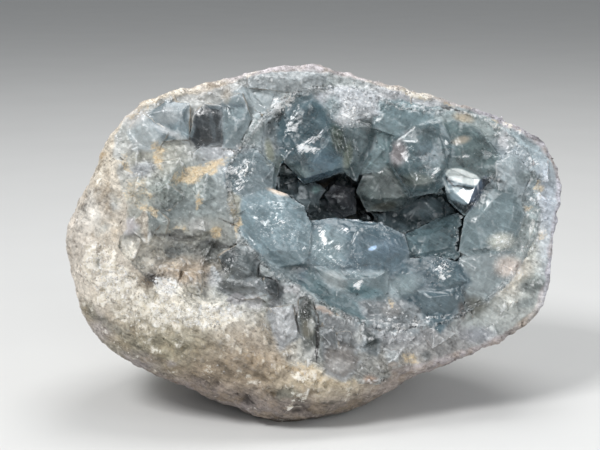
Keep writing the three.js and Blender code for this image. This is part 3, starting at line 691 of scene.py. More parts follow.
# Painted highlights, white glare laid in the colour where the lamps glance off the crystals: place, half
# sizes, turn in degrees and amount
PAINTED_HIGHLIGHTS = [
    ((-1.6, 27.4), (3.0, 1.5), -14, 1.0),
    ((0.6, 30.4), (4.4, 0.8), 42, 0.75),
    ((-3.6, 27.9), (1.6, 0.6), -30, 0.9),
    ((3.0, 1.0), (0.7, 2.4), 10, 1.0),
    ((1.4, 2.6), (0.6, 2.0), 26, 0.7),
    ((-2.9, -2.8), (1.0, 0.7), 30, 0.95),
    ((13.4, -12.9), (1.5, 1.2), 20, 0.95),
    ((8.8, 2.8), (1.5, 0.7), -20, 0.7),
    ((7.6, -1.6), (1.3, 1.5), 0, 0.62),
    ((-8.9, 5.6), (1.8, 0.5), 24, 0.7),
    ((-21.5, 16.8), (2.2, 2.4), 0, 0.62),
    ((-24.4, 20.4), (2.6, 1.3), 20, 0.7),
    ((-11.4, 40.6), (1.4, 3.4), -34, 0.8),
    ((10.4, 37.6), (2.6, 2.0), 0, 0.66),
    ((27.6, 26.3), (0.4, 2.4), -32, 0.8),
    ((36.2, 20.2), (2.4, 0.5), 34, 0.8),
    ((30.4, 18.6), (0.4, 1.2), 8, 0.8),
    ((39.4, 29.4), (0.9, 0.7), 0, 0.95),
    ((45.6, 25.0), (1.4, 0.5), 14, 0.75),
    ((38.2, -8.0), (3.6, 1.2), 42, 0.5),
    ((56.6, -1.0), (2.6, 1.8), 0, 0.55),
    ((66.4, 23.4), (3.2, 1.6), -10, 0.55),
    ((-25.6, -8.4), (1.2, 2.0), 20, 0.6),
]
POLISHED_FACETS = [
    ((44.5, 16.6), (6.4, 5.0), -30, 1.0),
    ((-30.8, 34), (4.6, 6), 0, 0.6),
    ((38, -19), (5, 5), 0, 0.5),
]
CRUMBLY_RIND = [
    ((-44, -20), (24, 13), -20, 1.0),
    ((-20, -32), (20, 9), -24, 0.9),
    ((-63, -6), (7, 14), 0, 0.9),
    ((6, -42), (24, 5), 6, 0.7),
]

# The pocket's middle, half sizes and turn on the face, and the colour of its wall of stone deep in the
# pocket, darkened as painted shade of the hollow

POCKET_REACH = (18, 10), (50, 36), -12
POCKET_WALL_IN_SHADE = (120, 134, 138)

# Veils, streaks, tones, painted shadows in gaps, painted shade on facets and painted highlights: place,
# half sizes, turn in degrees, screen colour and strength

VEILS_TONES_AND_PAINTED_LIGHT = [
    ((-4, 33), (5.4, 3.6), 20, (44, 68, 76), 0.85),
    ((3.2, 23.4), (4, 3), 10, (98, 124, 138), 0.7),
    ((-5, 20.8), (4, 2), -24, (134, 150, 150), 0.7),
    ((3, 18.6), (6, 0.9), 14, (78, 96, 106), 0.8),
    ((7.2, 30.4), (1.8, 4.4), 14, (54, 68, 54), 0.9),
    ((10.3, 25.2), (1.3, 4.2), -8, (110, 120, 106), 0.8),
    ((10.2, 36.6), (3.4, 2.4), 0, (196, 200, 202), 0.8),
    ((5.7, 40), (2.4, 3), 0, (106, 126, 130), 0.7),
    ((-11, 39.4), (0.8, 3), -30, (232, 236, 236), 0.8),
    ((-3.4, 41), (3.8, 2.4), 40, (102, 124, 132), 0.8),
    ((-13, 26.4), (1.3, 3.6), 8, (122, 126, 108), 0.8),
    ((-9.5, 21.8), (2.2, 3.4), 10, (50, 64, 60), 0.9),
    ((7.7, 12.7), (3.4, 3), 0, (96, 96, 100), 0.8),
    ((1.1, 15.4), (1.3, 1.1), 0, (156, 184, 182), 0.9),
    ((-10.5, 14.2), (3, 0.7), -20, (216, 196, 176), 0.9),
    ((4, 9.6), (8, 1.4), 0, (56, 63, 64), 0.8),
    ((15, 9.4), (1.8, 3.6), 0, (48, 57, 58), 0.8),
    ((18.8, 13), (3, 2), -30, (106, 119, 118), 0.7),
    ((21.9, 10.1), (4, 1.2), 8, (98, 98, 88), 0.8),
    ((30, 6), (7, 1.8), -14, (50, 62, 66), 0.8),
    ((31, 11), (5, 2), 10, (78, 92, 97), 0.6),
    ((25.2, 25.8), (2.2, 3.6), -8, (184, 176, 177), 0.8),
    ((32.5, 31.4), (5, 2), 20, (94, 108, 112), 0.7),
    ((34, 26), (3.4, 3), 0, (116, 134, 142), 0.7),
    ((30.5, 17.8), (5, 2), 0, (112, 118, 110), 0.7),
    ((44.2, 29.9), (2.6, 1.1), 14, (174, 164, 148), 0.8),
    ((49.8, 26.9), (4, 3), -10, (84, 98, 98), 0.7),
    ((55.3, 17.7), (1.7, 0.6), -20, (42, 52, 54), 0.9),
    ((65, 18.8), (4, 1.8), 0, (98, 110, 110), 0.7),
    ((57.9, 29.9), (1.9, 2.4), 20, (214, 214, 216), 0.8),
    ((60.2, 29.9), (1.4, 1.5), 0, (122, 132, 134), 0.8),
    ((45.2, 36.6), (3, 1.1), -10, (202, 184, 156), 0.7),
    ((26.4, -13.2), (5, 3), 20, (152, 167, 170), 0.7),
    ((39.6, -11), (3.4, 2.6), 0, (104, 122, 128), 0.7),
    ((47.7, -18.8), (3, 2.3), 0, (98, 98, 88), 0.8),
    ((43.8, -20.8), (1.1, 2.8), 8, (76, 66, 60), 0.8),
    ((57.9, -7.8), (4, 3), 0, (218, 204, 194), 0.8),
    ((55.8, -0.4), (4, 2.4), 0, (216, 216, 204), 0.7),
    ((64.8, -13.2), (3.4, 2.2), 20, (110, 120, 118), 0.7),
    ((63.4, -18.8), (2.6, 1.4), 14, (130, 140, 140), 0.7),
    ((43.2, -26.8), (0.5, 3.6), 10, (104, 104, 104), 0.8),
    ((48.7, -27.9), (5, 2.2), 0, (128, 131, 140), 0.6),
    ((22.9, -33.4), (2.2, 1.8), 0, (156, 163, 166), 0.6),
    ((33, -33.4), (1.6, 1.2), 0, (92, 96, 96), 0.8),
    ((4, -2), (5.6, 6), 0, (144, 162, 167), 0.8),
    ((13.8, 3), (3.4, 1.2), -20, (84, 102, 110), 0.7),
    ((22, -2), (4.4, 2.6), 0, (106, 126, 140), 0.6),
    ((-3.4, -9.6), (1.5, 2.8), 0, (86, 106, 116), 0.8),
    ((2.6, -14.6), (4, 1.4), -44, (90, 115, 120), 0.8),
    ((5.4, -20.7), (4, 1), -30, (154, 163, 160), 0.6),
    ((15.2, -15), (6, 1.8), -16, (96, 126, 133), 0.8),
    ((6.2, -11.6), (4, 2.2), -30, (186, 192, 192), 0.7),
    ((22.9, -20.4), (3, 2), 0, (150, 148, 146), 0.7),
    ((3.1, -20.4), (2.8, 0.8), -20, (186, 166, 152), 0.8),
    ((-1.9, -25.4), (1.5, 2.4), 0, (116, 113, 100), 0.8),
    ((-0.5, -24.3), (0.7, 2.2), 0, (204, 204, 198), 0.8),
    ((0, -32.4), (1.1, 1.5), 0, (206, 206, 202), 0.8),
    ((10.2, -30.4), (3.6, 0.6), -26, (74, 72, 70), 0.8),
    ((7.2, -35.9), (2.6, 1.7), 0, (172, 170, 167), 0.7),
    ((13.3, -27.9), (1.2, 2), 0, (178, 180, 178), 0.8),
    ((16.3, -40), (2, 1.2), 0, (150, 122, 102), 0.7),
    ((-7.5, -43.6), (4, 1.5), 0, (120, 122, 112), 0.7),
    ((-39, -2.4), (4, 2), 0, (126, 131, 129), 0.7),
    ((-29.5, -3.4), (3, 2.8), 0, (96, 99, 96), 0.8),
    ((-25.2, -8), (2, 2), 0, (118, 122, 120), 0.6),
    ((-28.3, -10.9), (2.4, 2.3), 30, (178, 181, 183), 0.8),
    ((-17.3, -17.4), (2.6, 2), 0, (194, 194, 196), 0.8),
    ((-10.6, -14.4), (2, 2.8), 0, (58, 64, 66), 0.8),
    ((-41.6, -13.4), (3.2, 2.8), 0, (236, 232, 224), 0.9),
    ((-46.5, -11.6), (2.4, 1.8), 0, (124, 117, 109), 0.7),
    ((-58.7, -24.3), (5, 1.6), -30, (132, 130, 120), 0.7),
    ((-65, -20.7), (2.2, 3), 20, (142, 138, 118), 0.6),
    ((-41, -35.3), (1.6, 1.2), 0, (160, 156, 158), 0.6),
    ((-43, 36.4), (4, 2.6), 0, (162, 166, 167), 0.6),
    ((-38.6, 32), (3, 2), 0, (130, 146, 152), 0.8),
    ((-42, 31.6), (5.6, 0.8), -26, (214, 218, 220), 0.8),
    ((-52.6, 36.4), (4, 2.6), 30, (206, 204, 202), 0.7),
    ((-22.4, 35.6), (3, 4), 0, (126, 141, 146), 0.6),
    ((-23.7, 39.8), (4.4, 0.6), -4, (90, 104, 112), 0.8),
    ((-25.8, 43.2), (1.4, 2.8), 0, (150, 141, 128), 0.7),
    ((-54.7, 26.8), (5, 2), 20, (152, 154, 152), 0.6),
    ((-49.6, 20.8), (3.6, 2.2), 20, (150, 155, 162), 0.7),
    ((-39.6, 15.4), (8, 4), 10, (134, 142, 138), 0.7),
    ((-33.4, 4.2), (3, 2.3), 0, (166, 166, 163), 0.8),
    ((-65, 9), (4, 6), 0, (226, 222, 214), 0.6),
]
# Sharp-bordered marks with the same columns: the mirror facet's painted reflection of the lamp, painted
# shade in gaps and on the dark block's shaded side, a painted blue glint, and painted light and shade on
# the facets of the dark crystals
CRISP_TONES_AND_PAINTED_LIGHT = [
    ((44.7, 19.0), (5.4, 1.9), -17, (240, 247, 246), 1.0),
    ((43.4, 14.0), (4.9, 1.7), -44, (150, 168, 176), 0.9),
    ((44.4, 13.8), (3.6, 0.9), -42, (226, 236, 238), 0.9),
    ((39.9, 16.4), (2.6, 0.4), -62, (214, 224, 226), 0.8),
    ((40.9, 17.6), (2.2, 0.34), -48, (40, 50, 54), 0.95),
    ((45.6, 15.9), (3.8, 0.34), -7, (40, 50, 54), 0.95),
    ((46.6, 15.0), (2.6, 0.2), -7, (60, 72, 78), 0.8),
    ((49.0, 14.2), (5.8, 1.2), 62, (84, 98, 114), 1.0),
    ((17.3, -2.3), (1.3, 0.6), 22, (176, 206, 238), 0.95),
    ((1.1, -28.4), (0.5, 7), -2, (48, 46, 44), 0.9),
    ((-32.6, 30.4), (2.6, 3.0), 10, (26, 32, 35), 0.85),
    ((-29.6, 33.6), (0.7, 4.6), 8, (88, 97, 102), 0.5),
    ((-27.6, 39.0), (5, 0.5), -4, (70, 82, 88), 0.7),
    ((43.2, 38.9), (4.6, 0.5), -14, (52, 58, 56), 0.9),
    ((2.0, 19.4), (6.8, 0.5), 14, (84, 104, 118), 0.8),
    ((-24.8, -5.8), (2.0, 3.4), -24, (62, 68, 70), 0.85),
    ((-19.6, -5.9), (2.1, 3.6), 4, (104, 111, 112), 0.85),
    ((-21.6, -1.8), (2.6, 0.5), -36, (150, 156, 157), 0.7),
    ((-28.6, -9.4), (0.9, 2.4), 30, (184, 188, 190), 0.8),
    ((-23.4, -13.0), (4.4, 1.5), -6, (80, 84, 84), 0.85),
    ((-23.6, -11.4), (3.4, 0.4), -4, (142, 146, 146), 0.7),
    ((-11.7, -13.7), (1.9, 2.7), 10, (52, 56, 58), 0.9),
    ((-22.2, -16.8), (2.8, 1.6), 0, (158, 157, 160), 0.8),
    ((-16.4, -18.0), (2.0, 1.6), 0, (204, 204, 205), 0.7),
    ((-7.0, -17.4), (2.6, 2.2), 20, (168, 174, 174), 0.7),
    ((-9.0, -24.0), (1.4, 3.6), 24, (186, 188, 189), 0.7),
    ((-38.6, 0.8), (4.6, 1.0), -4, (88, 88, 84), 0.75),
    ((-30.6, -1.8), (3.8, 1.5), -12, (84, 87, 84), 0.75),
    ((-40.5, -3.4), (2.6, 1.6), 10, (112, 116, 114), 0.7),
    ((-46.5, -10.8), (1.6, 1.4), 0, (104, 97, 90), 0.8),
    ((-2.4, -19.8), (1.9, 2.6), 0, (62, 66, 62), 0.85),
    ((16.9, -29.2), (1.4, 3.4), 22, (58, 66, 66), 0.85),
]

# The border of the broken face, and where its grain is coarse

BROKEN_FACE = (
    [[-66, 10], [-60, 30], [-44, 46], [-10, 58], [30, 54], [60, 40], [82, 22], [82, -12]]
    + [[70, -26], [50, -36], [34, -40], [22, -42], [12, -41], [2, -38], [-5, -36], [-10, -32]]
    + [[-16, -26], [-26, -21], [-38, -20], [-50, -16], [-62, -8]]
)
GRAIN_PATCHES = [
    ((-45, -15), (22, 14), 0, 1.0),
    ((-20, -30), (22, 10), -30, 1.0),
    ((20, -36), (30, 8), 0, 0.8),
    ((-50, 16), (12, 10), 0, 0.5),
    ((62, 5), (9, 30), 0, 0.65),
    ((0, 49), (50, 5), 0, 0.6),
    ((-42, 12), (8, 6), 0, 0.6),
]


def ellipse(face, place, size, turn):
    """Distance from the place in units of the turned ellipse's half sizes."""
    dx, dz = face[:, 0] - place[0], face[:, 2] - place[1]
    cos, sin = math.cos(math.radians(turn)), math.sin(math.radians(turn))
    return np.hypot((dx * cos + dz * sin) / size[0], (dz * cos - dx * sin) / size[1])


def marked(face, marks, soft=0.55):
    """How strongly the marks cover each point, from 0 to about 1."""
    amount = np.zeros(len(face))
    for place, size, turn, strength in marks:
        cover = strength * (1 - eased(ellipse(face, place, size, turn), 1 - soft, 1 + soft))
        amount = np.maximum(amount, cover)
    return amount


def tinted(face, patches, rest, rest_weight=0.2):
    """A colour at each point, from broad patches that fade into each other."""
    total = np.tile(linear(rest) * rest_weight, (len(face), 1))
    weight = np.full((len(face), 1), rest_weight)
    for place, spread, colour, strength in patches:
        share = strength * np.exp(-ellipse(face, place, spread, 0) ** 2)[:, None]
        total += share * linear(colour)
        weight += share
    return total / weight


def outside(face, outline):
    """Distance of each point from the outline on the face, negative inside it."""
    x, z = face[:, 0], face[:, 2]
    nearest = np.full(len(face), np.inf)
    inside = np.zeros(len(face), bool)
    for (x1, z1), (x2, z2) in zip(outline, outline[1:] + outline[:1]):
        run, rise = x2 - x1, z2 - z1
        along = np.clip(((x - x1) * run + (z - z1) * rise) / math.hypot(run, rise) ** 2, 0, 1)
        nearest = np.minimum(nearest, np.hypot(x - x1 - along * run, z - z1 - along * rise))
        if rise:
            inside ^= ((z1 > z) != (z2 > z)) & (x < x1 + run * (z - z1) / rise)
    return np.where(inside, -nearest, nearest)


def painted_crystals(face, sideways, tint, cloud, grain):
    """Lays each crystal's colour and clearness over what is there, and says where they lie; the dark
    colours of the nook and of the dark upper block are painted shade.
    """
    covered = np.zeros(len(face))
    reach = 1.6 * sideways  # a crystal's own sides lie at its outline, so they are taken in
    patchy = np.array([noise.fractal(Vector(p), 1, 2, 2) for p in face / 4])
    rim_share = 0.22 * eased(patchy, -0.3, 0.4)
    for outline, depth, colour, milky, grainy in ALL_CRYSTALS.values():
        near_depth = 1 - eased(np.abs(face[:, 1] - depth - 2), 9, 14)
        beyond = outside(face, outline)
        cover = (1 - eased(beyond - reach, -0.7, 0.7)) * near_depth
        tint += cover[:, None] * (linear(colour) - tint)
        rim = near_depth * (1 - eased(np.abs(beyond + 0.4), 0.2, 1.0)) * rim_share * (1 - sideways)
        tint += rim[:, None] * (linear(PALE_RIM) - tint)
        cloud += cover * (milky - cloud)
        grain += cover * (grainy - grain)
        covered = np.maximum(covered, cover)
    return covered


# Meshes


CRISP_EDGE = 0.42  # the longest edge under a crisp mark, in millimetres
REFINING_PASSES = 8


def edge_limits(front_depth, front, behind):
    """Limits of edge length: finest under the crisp marks, fine in front, coarse behind."""

    def limits(face):
        crisp = [(place, (size[0] + 1, size[1] + 1), turn, 1) for place, size, turn, *_ in CRISP_TONES_AND_PAINTED_LIGHT]
        fine = (marked(face, crisp, 0.2) > 0) & (face[:, 1] < front_depth)
        return np.where(fine, CRISP_EDGE, np.where(face[:, 1] < front_depth, front, behind)) * MM

    return limits


def refined_copy(node, name, longest):
    """A closed copy of a solid with its long edges halved until they are under `longest` metres."""
    mesh = bmesh.new()
    mesh.from_mesh(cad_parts[node].data)
    bmesh.ops.remove_doubles(mesh, verts=mesh.verts, dist=2e-6)
    for _ in range(REFINING_PASSES):
        ends = np.array([[*edge.verts[0].co, *edge.verts[1].co] for edge in mesh.edges])
        length = np.linalg.norm(ends[:, :3] - ends[:, 3:], axis=1)
        chosen = np.flatnonzero(length > longest(to_face((ends[:, :3] + ends[:, 3:]) / 2)))
        if not len(chosen):
            break
        mesh.edges.ensure_lookup_table()
        bmesh.ops.subdivide_edges(mesh, edges=[mesh.edges[i] for i in chosen], cuts=1)
        bmesh.ops.triangulate(mesh, faces=[face for face in mesh.faces if len(face.verts) > 3])
    bmesh.ops.recalc_face_normals(mesh, faces=mesh.faces)
    data = bpy.data.meshes.new(name)
    mesh.to_mesh(data)
    mesh.free()
    piece = bpy.data.objects.new(name, data)
    bpy.context.scene.collection.objects.link(piece)
    return piece


def points_of(piece):
    points = np.empty(len(piece.data.vertices) * 3)
    piece.data.vertices.foreach_get("co", points)
    return points.reshape(-1, 3)


def normals_of(piece):
    piece.data.update()
    normals = np.empty(len(piece.data.vertices) * 3)
    piece.data.vertex_normals.foreach_get("vector", normals)
    return normals.reshape(-1, 3)


def set_points(piece, points):
    low, high = (np.array(corner) for corner in cad_box)
    piece.data.vertices.foreach_set("co", np.clip(points, low, high).ravel())
    piece.data.update()


def smoothed(piece, values, share, rounds):
    """Values at the points, each moved towards the mean of its neighbours as far as `share` lets it."""
    edges = np.empty(len(piece.data.edges) * 2, int)
    piece.data.edges.foreach_get("vertices", edges)
    a, b = edges.reshape(-1, 2).T
    ends, others = np.r_[a, b], np.r_[b, a]
    count = np.bincount(ends, minlength=len(values))[:, None]
    for _ in range(rounds):
        total = np.stack([np.bincount(ends, column[others], len(values)) for column in values.T], 1)
        values = values + (total / count - values) * share
    return values


def standing_out(piece, rounds):
    """How far each point stands out from its surroundings, in millimetres: above 0 on edges."""
    points = points_of(piece)
    around = smoothed(piece, points, 0.8, rounds)
    return np.einsum("ij,ij->i", points - around, normals_of(piece)) / MM


def rolling(points, size, depth=3, offset=0.0):
    """Noise of about -1 to 1 at each point, with features of `size` millimetres."""
    return np.array([noise.fractal(Vector(p), 1.0, 2.0, depth) for p in points / (size * MM) + offset])


def chipped(points, size, slope, seed):
    """Heights, in metres, of broken grains `size` millimetres apart, each with a few flat sides."""
    rng = np.random.default_rng(seed)
    spacing = size * MM
    cells = np.unique(np.floor(points / spacing).astype(int), axis=0)
    seeds = (cells + rng.random(cells.shape)) * spacing
    tree = kdtree.KDTree(len(seeds))
    for i, place in enumerate(seeds):
        tree.insert(place, i)
    tree.balance()
    near = np.array([[found[1] for found in tree.find_n(p, 4)] for p in points])
    ways = rng.normal(size=(len(seeds), 4, 3))
    ways /= np.linalg.norm(ways, axis=2, keepdims=True)
    steep = rng.uniform(*slope, (len(seeds), 4))
    tops = rng.uniform(-0.25, 0.25, len(seeds)) * spacing * slope[1]
    best = np.full(len(points), -1.0)
    for i in near.T:
        sides = np.einsum("nd,njd->nj", points - seeds[i], ways[i]) * steep[i]
        best = np.maximum(best, tops[i] - sides.max(axis=1))
    return best


class FrontDepths:
    """The depth at which a line of sight into the face first meets the solids, on a fine grid."""

    STEP = 0.75
    HALF = (81, 60)
    NOWHERE = 60

    def __init__(self, pieces):
        xs = np.arange(-self.HALF[0], self.HALF[0] + self.STEP, self.STEP)
        zs = np.arange(-self.HALF[1], self.HALF[1] + self.STEP, self.STEP)
        depths = []
        for piece in pieces:
            face = to_face(points_of(piece))
            sides = [list(polygon.vertices) for polygon in piece.data.polygons]
            solid = BVHTree.FromPolygons(face.tolist(), sides)
            rays = [[solid.ray_cast((x, -150, z), (0, 1, 0))[0] for z in zs] for x in xs]
            depths.append(np.array([[hit.y if hit else np.nan for hit in row] for row in rays]))
        self.each = depths
        self.front = np.fmin(*depths)
        self.front_filled = np.where(np.isnan(self.front), self.NOWHERE, self.front)
        is_second = np.nan_to_num(depths[1], nan=99) < np.nan_to_num(depths[0], nan=99)
        border = np.zeros_like(is_second)
        border[:-1] |= is_second[:-1] != is_second[1:]
        border[:, :-1] |= is_second[:, :-1] != is_second[:, 1:]
        border &= ~np.isnan(self.front)
        self.xs, self.zs = xs, zs
        cells = np.argwhere(border)
        self.seam = kdtree.KDTree(len(cells))
        for i, (column, row) in enumerate(cells):
            self.seam.insert((xs[column], zs[row], 0), i)
        self.seam.balance()

    def blurred(self, spread):
        """The front depths without their details, each place by what is known around it."""
        reach = int(3 * spread / self.STEP)
        kernel = np.exp(-((np.arange(-reach, reach + 1) * self.STEP / spread) ** 2) / 2)

        def both_ways(grid):
            for axis in (0, 1):
                grid = np.apply_along_axis(np.convolve, axis, grid, kernel, "same")
            return grid

        known = ~np.isnan(self.front)
        weight = np.maximum(both_ways(known.astype(float)), 1e-6)
        return both_ways(np.where(known, self.front, 0)) / weight

    def at(self, grid, face):
        """The grid's value at each point, between its four nearest places."""
        column = np.clip((face[:, 0] - self.xs[0]) / self.STEP, 0, len(self.xs) - 1.001)
        row = np.clip((face[:, 2] - self.zs[0]) / self.STEP, 0, len(self.zs) - 1.001)
        i, j = column.astype(int), row.astype(int)
        u, v = column - i, row - j
        left = grid[i, j] * (1 - v) + grid[i, j + 1] * v
        right = grid[i + 1, j] * (1 - v) + grid[i + 1, j + 1] * v
        return left * (1 - u) + right * u

    def closed(self, reach):
        """The front depths with every crack filled that is narrower than twice the reach."""
        width = 2 * int(reach / self.STEP) + 1
        grid = self.front_filled
        for pick in (np.min, np.max):
            for axis in (0, 1):
                ends = [(0, 0), (0, 0)]
                ends[axis] = (width // 2, width // 2)
                padded = np.pad(grid, ends, mode="edge")
                grid = pick(np.lib.stride_tricks.sliding_window_view(padded, width, axis), axis=-1)
        return grid

    def from_seam(self, face):
        """Distance on the face from the joint between the two solids, in millimetres."""
        return np.array([self.seam.find((x, z, 0))[2] for x, _, z in face])


SEAM_REACH = 5.0  # how far the joint between crust and stone is levelled to each side
DEEP_POCKET = (-6.0, 1.0)  # depths between which the levelling of the joint fades out
OPEN_POCKET = (-3.0, 5.0)  # depths between which the filling of cracks fades out
CRACK_REACH = 2.3  # half the width of the widest crack that is filled
HIDDEN_WALL = (4.0, 8.0)  # depths behind the piece's own front where walls are left as they are


def levelled(piece, own, depths, filled, held):
    """Brings both sides of the joint to one surface, and fills cracks where nothing is held back."""
    face = to_face(points_of(piece))
    facing = (normals_of(piece) @ np.array(FACE_TURN))[:, 1] < 0.4
    own_front = depths.at(np.nan_to_num(depths.each[own], nan=depths.NOWHERE), face)
    wide = depths.at(depths.blurred(2.6), face)
    is_front = 1 - eased(face[:, 1] - own_front, 1.0, 2.5)
    near_seam = (1 - eased(depths.from_seam(face), 0.4, SEAM_REACH)) * (1 - eased(wide, *DEEP_POCKET))
    move = np.where(face[:, 1] < wide, near_seam, near_seam * is_front) * (wide - face[:, 1])
    closed = depths.at(depths.closed(CRACK_REACH), face)
    crack = np.maximum(face[:, 1] - closed - 0.3, 0) * facing * ~held * (1 - eased(closed, *OPEN_POCKET))
    crack *= 1 - eased(face[:, 1] - own_front, *HIDDEN_WALL)
    move -= filled * crack * (1 - near_seam)
    face[:, 1] += move
    set_points(piece, from_face(face))


def set_colour(piece, name, colours):
    layer = piece.data.color_attributes.new(name, "FLOAT_COLOR", "POINT")
    opaque = np.column_stack([colours, np.ones(len(colours))])
    layer.data.foreach_set("color", opaque.ravel().astype(np.float32))


def set_values(piece, **layers):
    for name, values in layers.items():
        layer = piece.data.attributes.new(name, "FLOAT", "POINT")
        layer.data.foreach_set("value", np.asarray(values, np.float32))


def wandering(face, amount, size):
    """Places on the face, moved a little by noise, so that what is laid there gets ragged borders."""
    shifted = face.copy()
    for axis, offset in ((0, 3.1), (2, 17.3)):
        shifts = [noise.fractal(Vector(p), 1, 2, 3) for p in face / size + offset]
        shifted[:, axis] += amount * np.array(shifts)
    return shifted


def laid_veils_and_painted_light(face, tint):
    """Lays the veils, streaks, painted shadows, painted shade and painted highlights over what is there.
    """
    for marks, soft in ((VEILS_TONES_AND_PAINTED_LIGHT, 0.5), (CRISP_TONES_AND_PAINTED_LIGHT, 0.14)):
        for place, size, turn, colour, strength in marks:
            cover = strength * (1 - eased(ellipse(face, place, size, turn), 1 - soft, 1 + soft))
            tint += cover[:, None] * (linear(colour) - tint)


def front_layers(ragged, faces_front):
    """The small marks that the finishes read, each laid only where the surface faces the front."""
    return {
        "sugar": marked(ragged, SUGAR_PATCHES) * faces_front,
        "ochre": marked(ragged, OCHRE_STAINS) * faces_front,
        "glint": marked(ragged, GLINT_AND_PAINTED_SPARKLE_ZONES, 0.8) * faces_front,
        "painted_highlight": marked(wandering(ragged, 0.3, 1.5), PAINTED_HIGHLIGHTS, 0.6) * faces_front,
    }


def turned_to_front(piece, low, high):
    """From 0 for a surface that faces sideways or back to 1 for one that faces the front."""
    depthwise = smoothed(piece, normals_of(piece) @ np.array(FACE_TURN)[:, 1:2], 0.8, 2)
    return eased(-depthwise[:, 0], low, high)


def lapped(depths, face, points):
    """How far the sides of the joint between crust and stone reach over each other, in metres."""
    near = 1 - eased(depths.from_seam(face), 0.6, 2.4)
    return near * (0.6 + 0.5 * rolling(points, 2.2)) * MM


BASE_BAND = 0.25 * MM  # the flat underside, up to this height, is left as it is
SIDES_IN_TURN = (0.15, 0.5)  # how far a surface faces the front, from none to all of a crystal's paint


def weathered_stone(piece, depths):
    """Smooth lumpy rind, and a broken face whose grains differ from place to place."""
    points = points_of(piece)
    face = to_face(points)
    ragged = wandering(face, 1.2, 4)
    on_base = points[:, 2] < BASE_BAND
    ways = normals_of(piece) @ np.array(FACE_TURN)
    to_middle = np.array(POCKET_REACH[0]) - face[:, ::2]
    inward = np.einsum("ij,ij->i", to_middle, ways[:, ::2]) > 0
    facing = eased(-ways[:, 1], -0.05, 0.3)
    facing = np.maximum(facing, inward * (1 - eased(ellipse(face, *POCKET_REACH), 0.9, 1.1)))
    broken = eased(under_rind(face) + 0.9 * rolling(points, 5), 0.9, 2.2) * facing * (face[:, 1] < 30)
    broken *= 1 - eased(outside(ragged, BROKEN_FACE), -0.6, 1.2)
    points = smoothed(piece, points, ((1 - broken) * ~on_base * 0.6)[:, None], 14)
    set_points(piece, points)
    normals = normals_of(piece)
    front = (broken > 0.02) & (face[:, 1] < 8)

    tint = tinted(ragged, BROKEN_TINTS, (162, 169, 169))
    cloud = np.ones(len(points))  # the stone's own crystals are milky throughout
    grain = 0.35 + 0.65 * marked(face, GRAIN_PATCHES, 0.8)
    faces_front = turned_to_front(piece, -0.1, 0.3)
    sideways = 1 - turned_to_front(piece, *SIDES_IN_TURN)
    crystals_cover = painted_crystals(wandering(face, 0.5, 2.5), sideways, tint, cloud, grain)
    # deeper in the pocket the broken face turns to the darker wall colour: painted shade of the hollow
    pocket_shade = (broken * eased(face[:, 1], -6, 2))[:, None]
    tint += pocket_shade * (linear(POCKET_WALL_IN_SHADE) - tint)

    lumps = 0.8 * rolling(points, 9) + 0.5 * rolling(points, 2.6, 3, 5.0)
    pits = -1.2 * eased(rolling(points, 3.4, 2, 9.0), 0.3, 0.75)
    crumbly = marked(ragged, CRUMBLY_RIND, 0.8) * (1 - broken)
    rugged = np.flatnonzero(front | (crumbly > 0.02))
    chips = np.zeros(len(points))
    near, rough = points[rugged], grain[rugged]
    chips[rugged] = chipped(near, 3.6, (0.1, 0.4), 3) * rough
    chips[rugged] += chipped(near, 1.6, (0.2, 0.6), 4) * rough
    chips[rugged] += (1 - rough) * chipped(near, 6, (0.02, 0.12), 5)
    height = (1 - broken) * (lumps + pits) * MM + np.maximum(broken, crumbly) * chips
    height += lapped(depths, face, points) * broken * (face[:, 1] < 2)
    height[on_base] = 0
    set_points(piece, points + normals * height[:, None])

    rind = 1 - broken
    rind_tint = tinted(ragged, RIND_TINTS, (186, 178, 166))
    tint = tint * broken[:, None] + rind_tint * rind[:, None]
    # veils with painted shadows, painted shade and painted highlights, laid on the surfaces that face the
    # front
    shaded = tint.copy()
    laid_veils_and_painted_light(wandering(face, 0.35, 2.0), shaded)
    # dark specks and painted shadow in cracks darken the front
    dark = marked(ragged, DARK_SPECKS_AND_PAINTED_SHADOWS)[:, None]
    tint += faces_front[:, None] * (shaded * (1 - 0.75 * dark) - tint)
    set_colour(piece, "tint", tint)
    layers = front_layers(ragged, faces_front)
    layers["glint"] *= np.maximum(crystals_cover, 0.3)
    seam = 1 - eased(depths.from_seam(face), 0.8, 2.6)
    thin = (0.14 * seam * broken, 0.1 * crumbly, 0.12 * grain * broken)
    druse = np.maximum.reduce([layers["sugar"], *thin])
    is_foremost = depths.at(depths.front_filled, face) > face[:, 1] - 1.5
    set_values(
        piece,
        rind=rind * (1 - 0.35 * crumbly),
        grain=grain,
        edge=standing_out(piece, 3),
        polish=np.zeros(len(points)),
        druse=druse * faces_front * (face[:, 1] < 4) * (1 - 0.9 * crystals_cover) * is_foremost,
        **layers,
    )


PRESSED_REACH = 0.7 * MM  # crust nearer to the stone than this lies against it
PRESSED_LIFT = 0.55 * MM  # how far it is pushed into the stone


def pressed_on_stone(piece):
    """Which points of the crust lie against the stone."""
    wall = bmesh.new()
    wall.from_mesh(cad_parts["stone"].data)
    stone_surface = BVHTree.FromBMesh(wall)
    wall.free()
    found = [stone_surface.find_nearest(Vector(p), PRESSED_REACH)[0] for p in points_of(piece)]
    return np.array([place is not None for place in found])


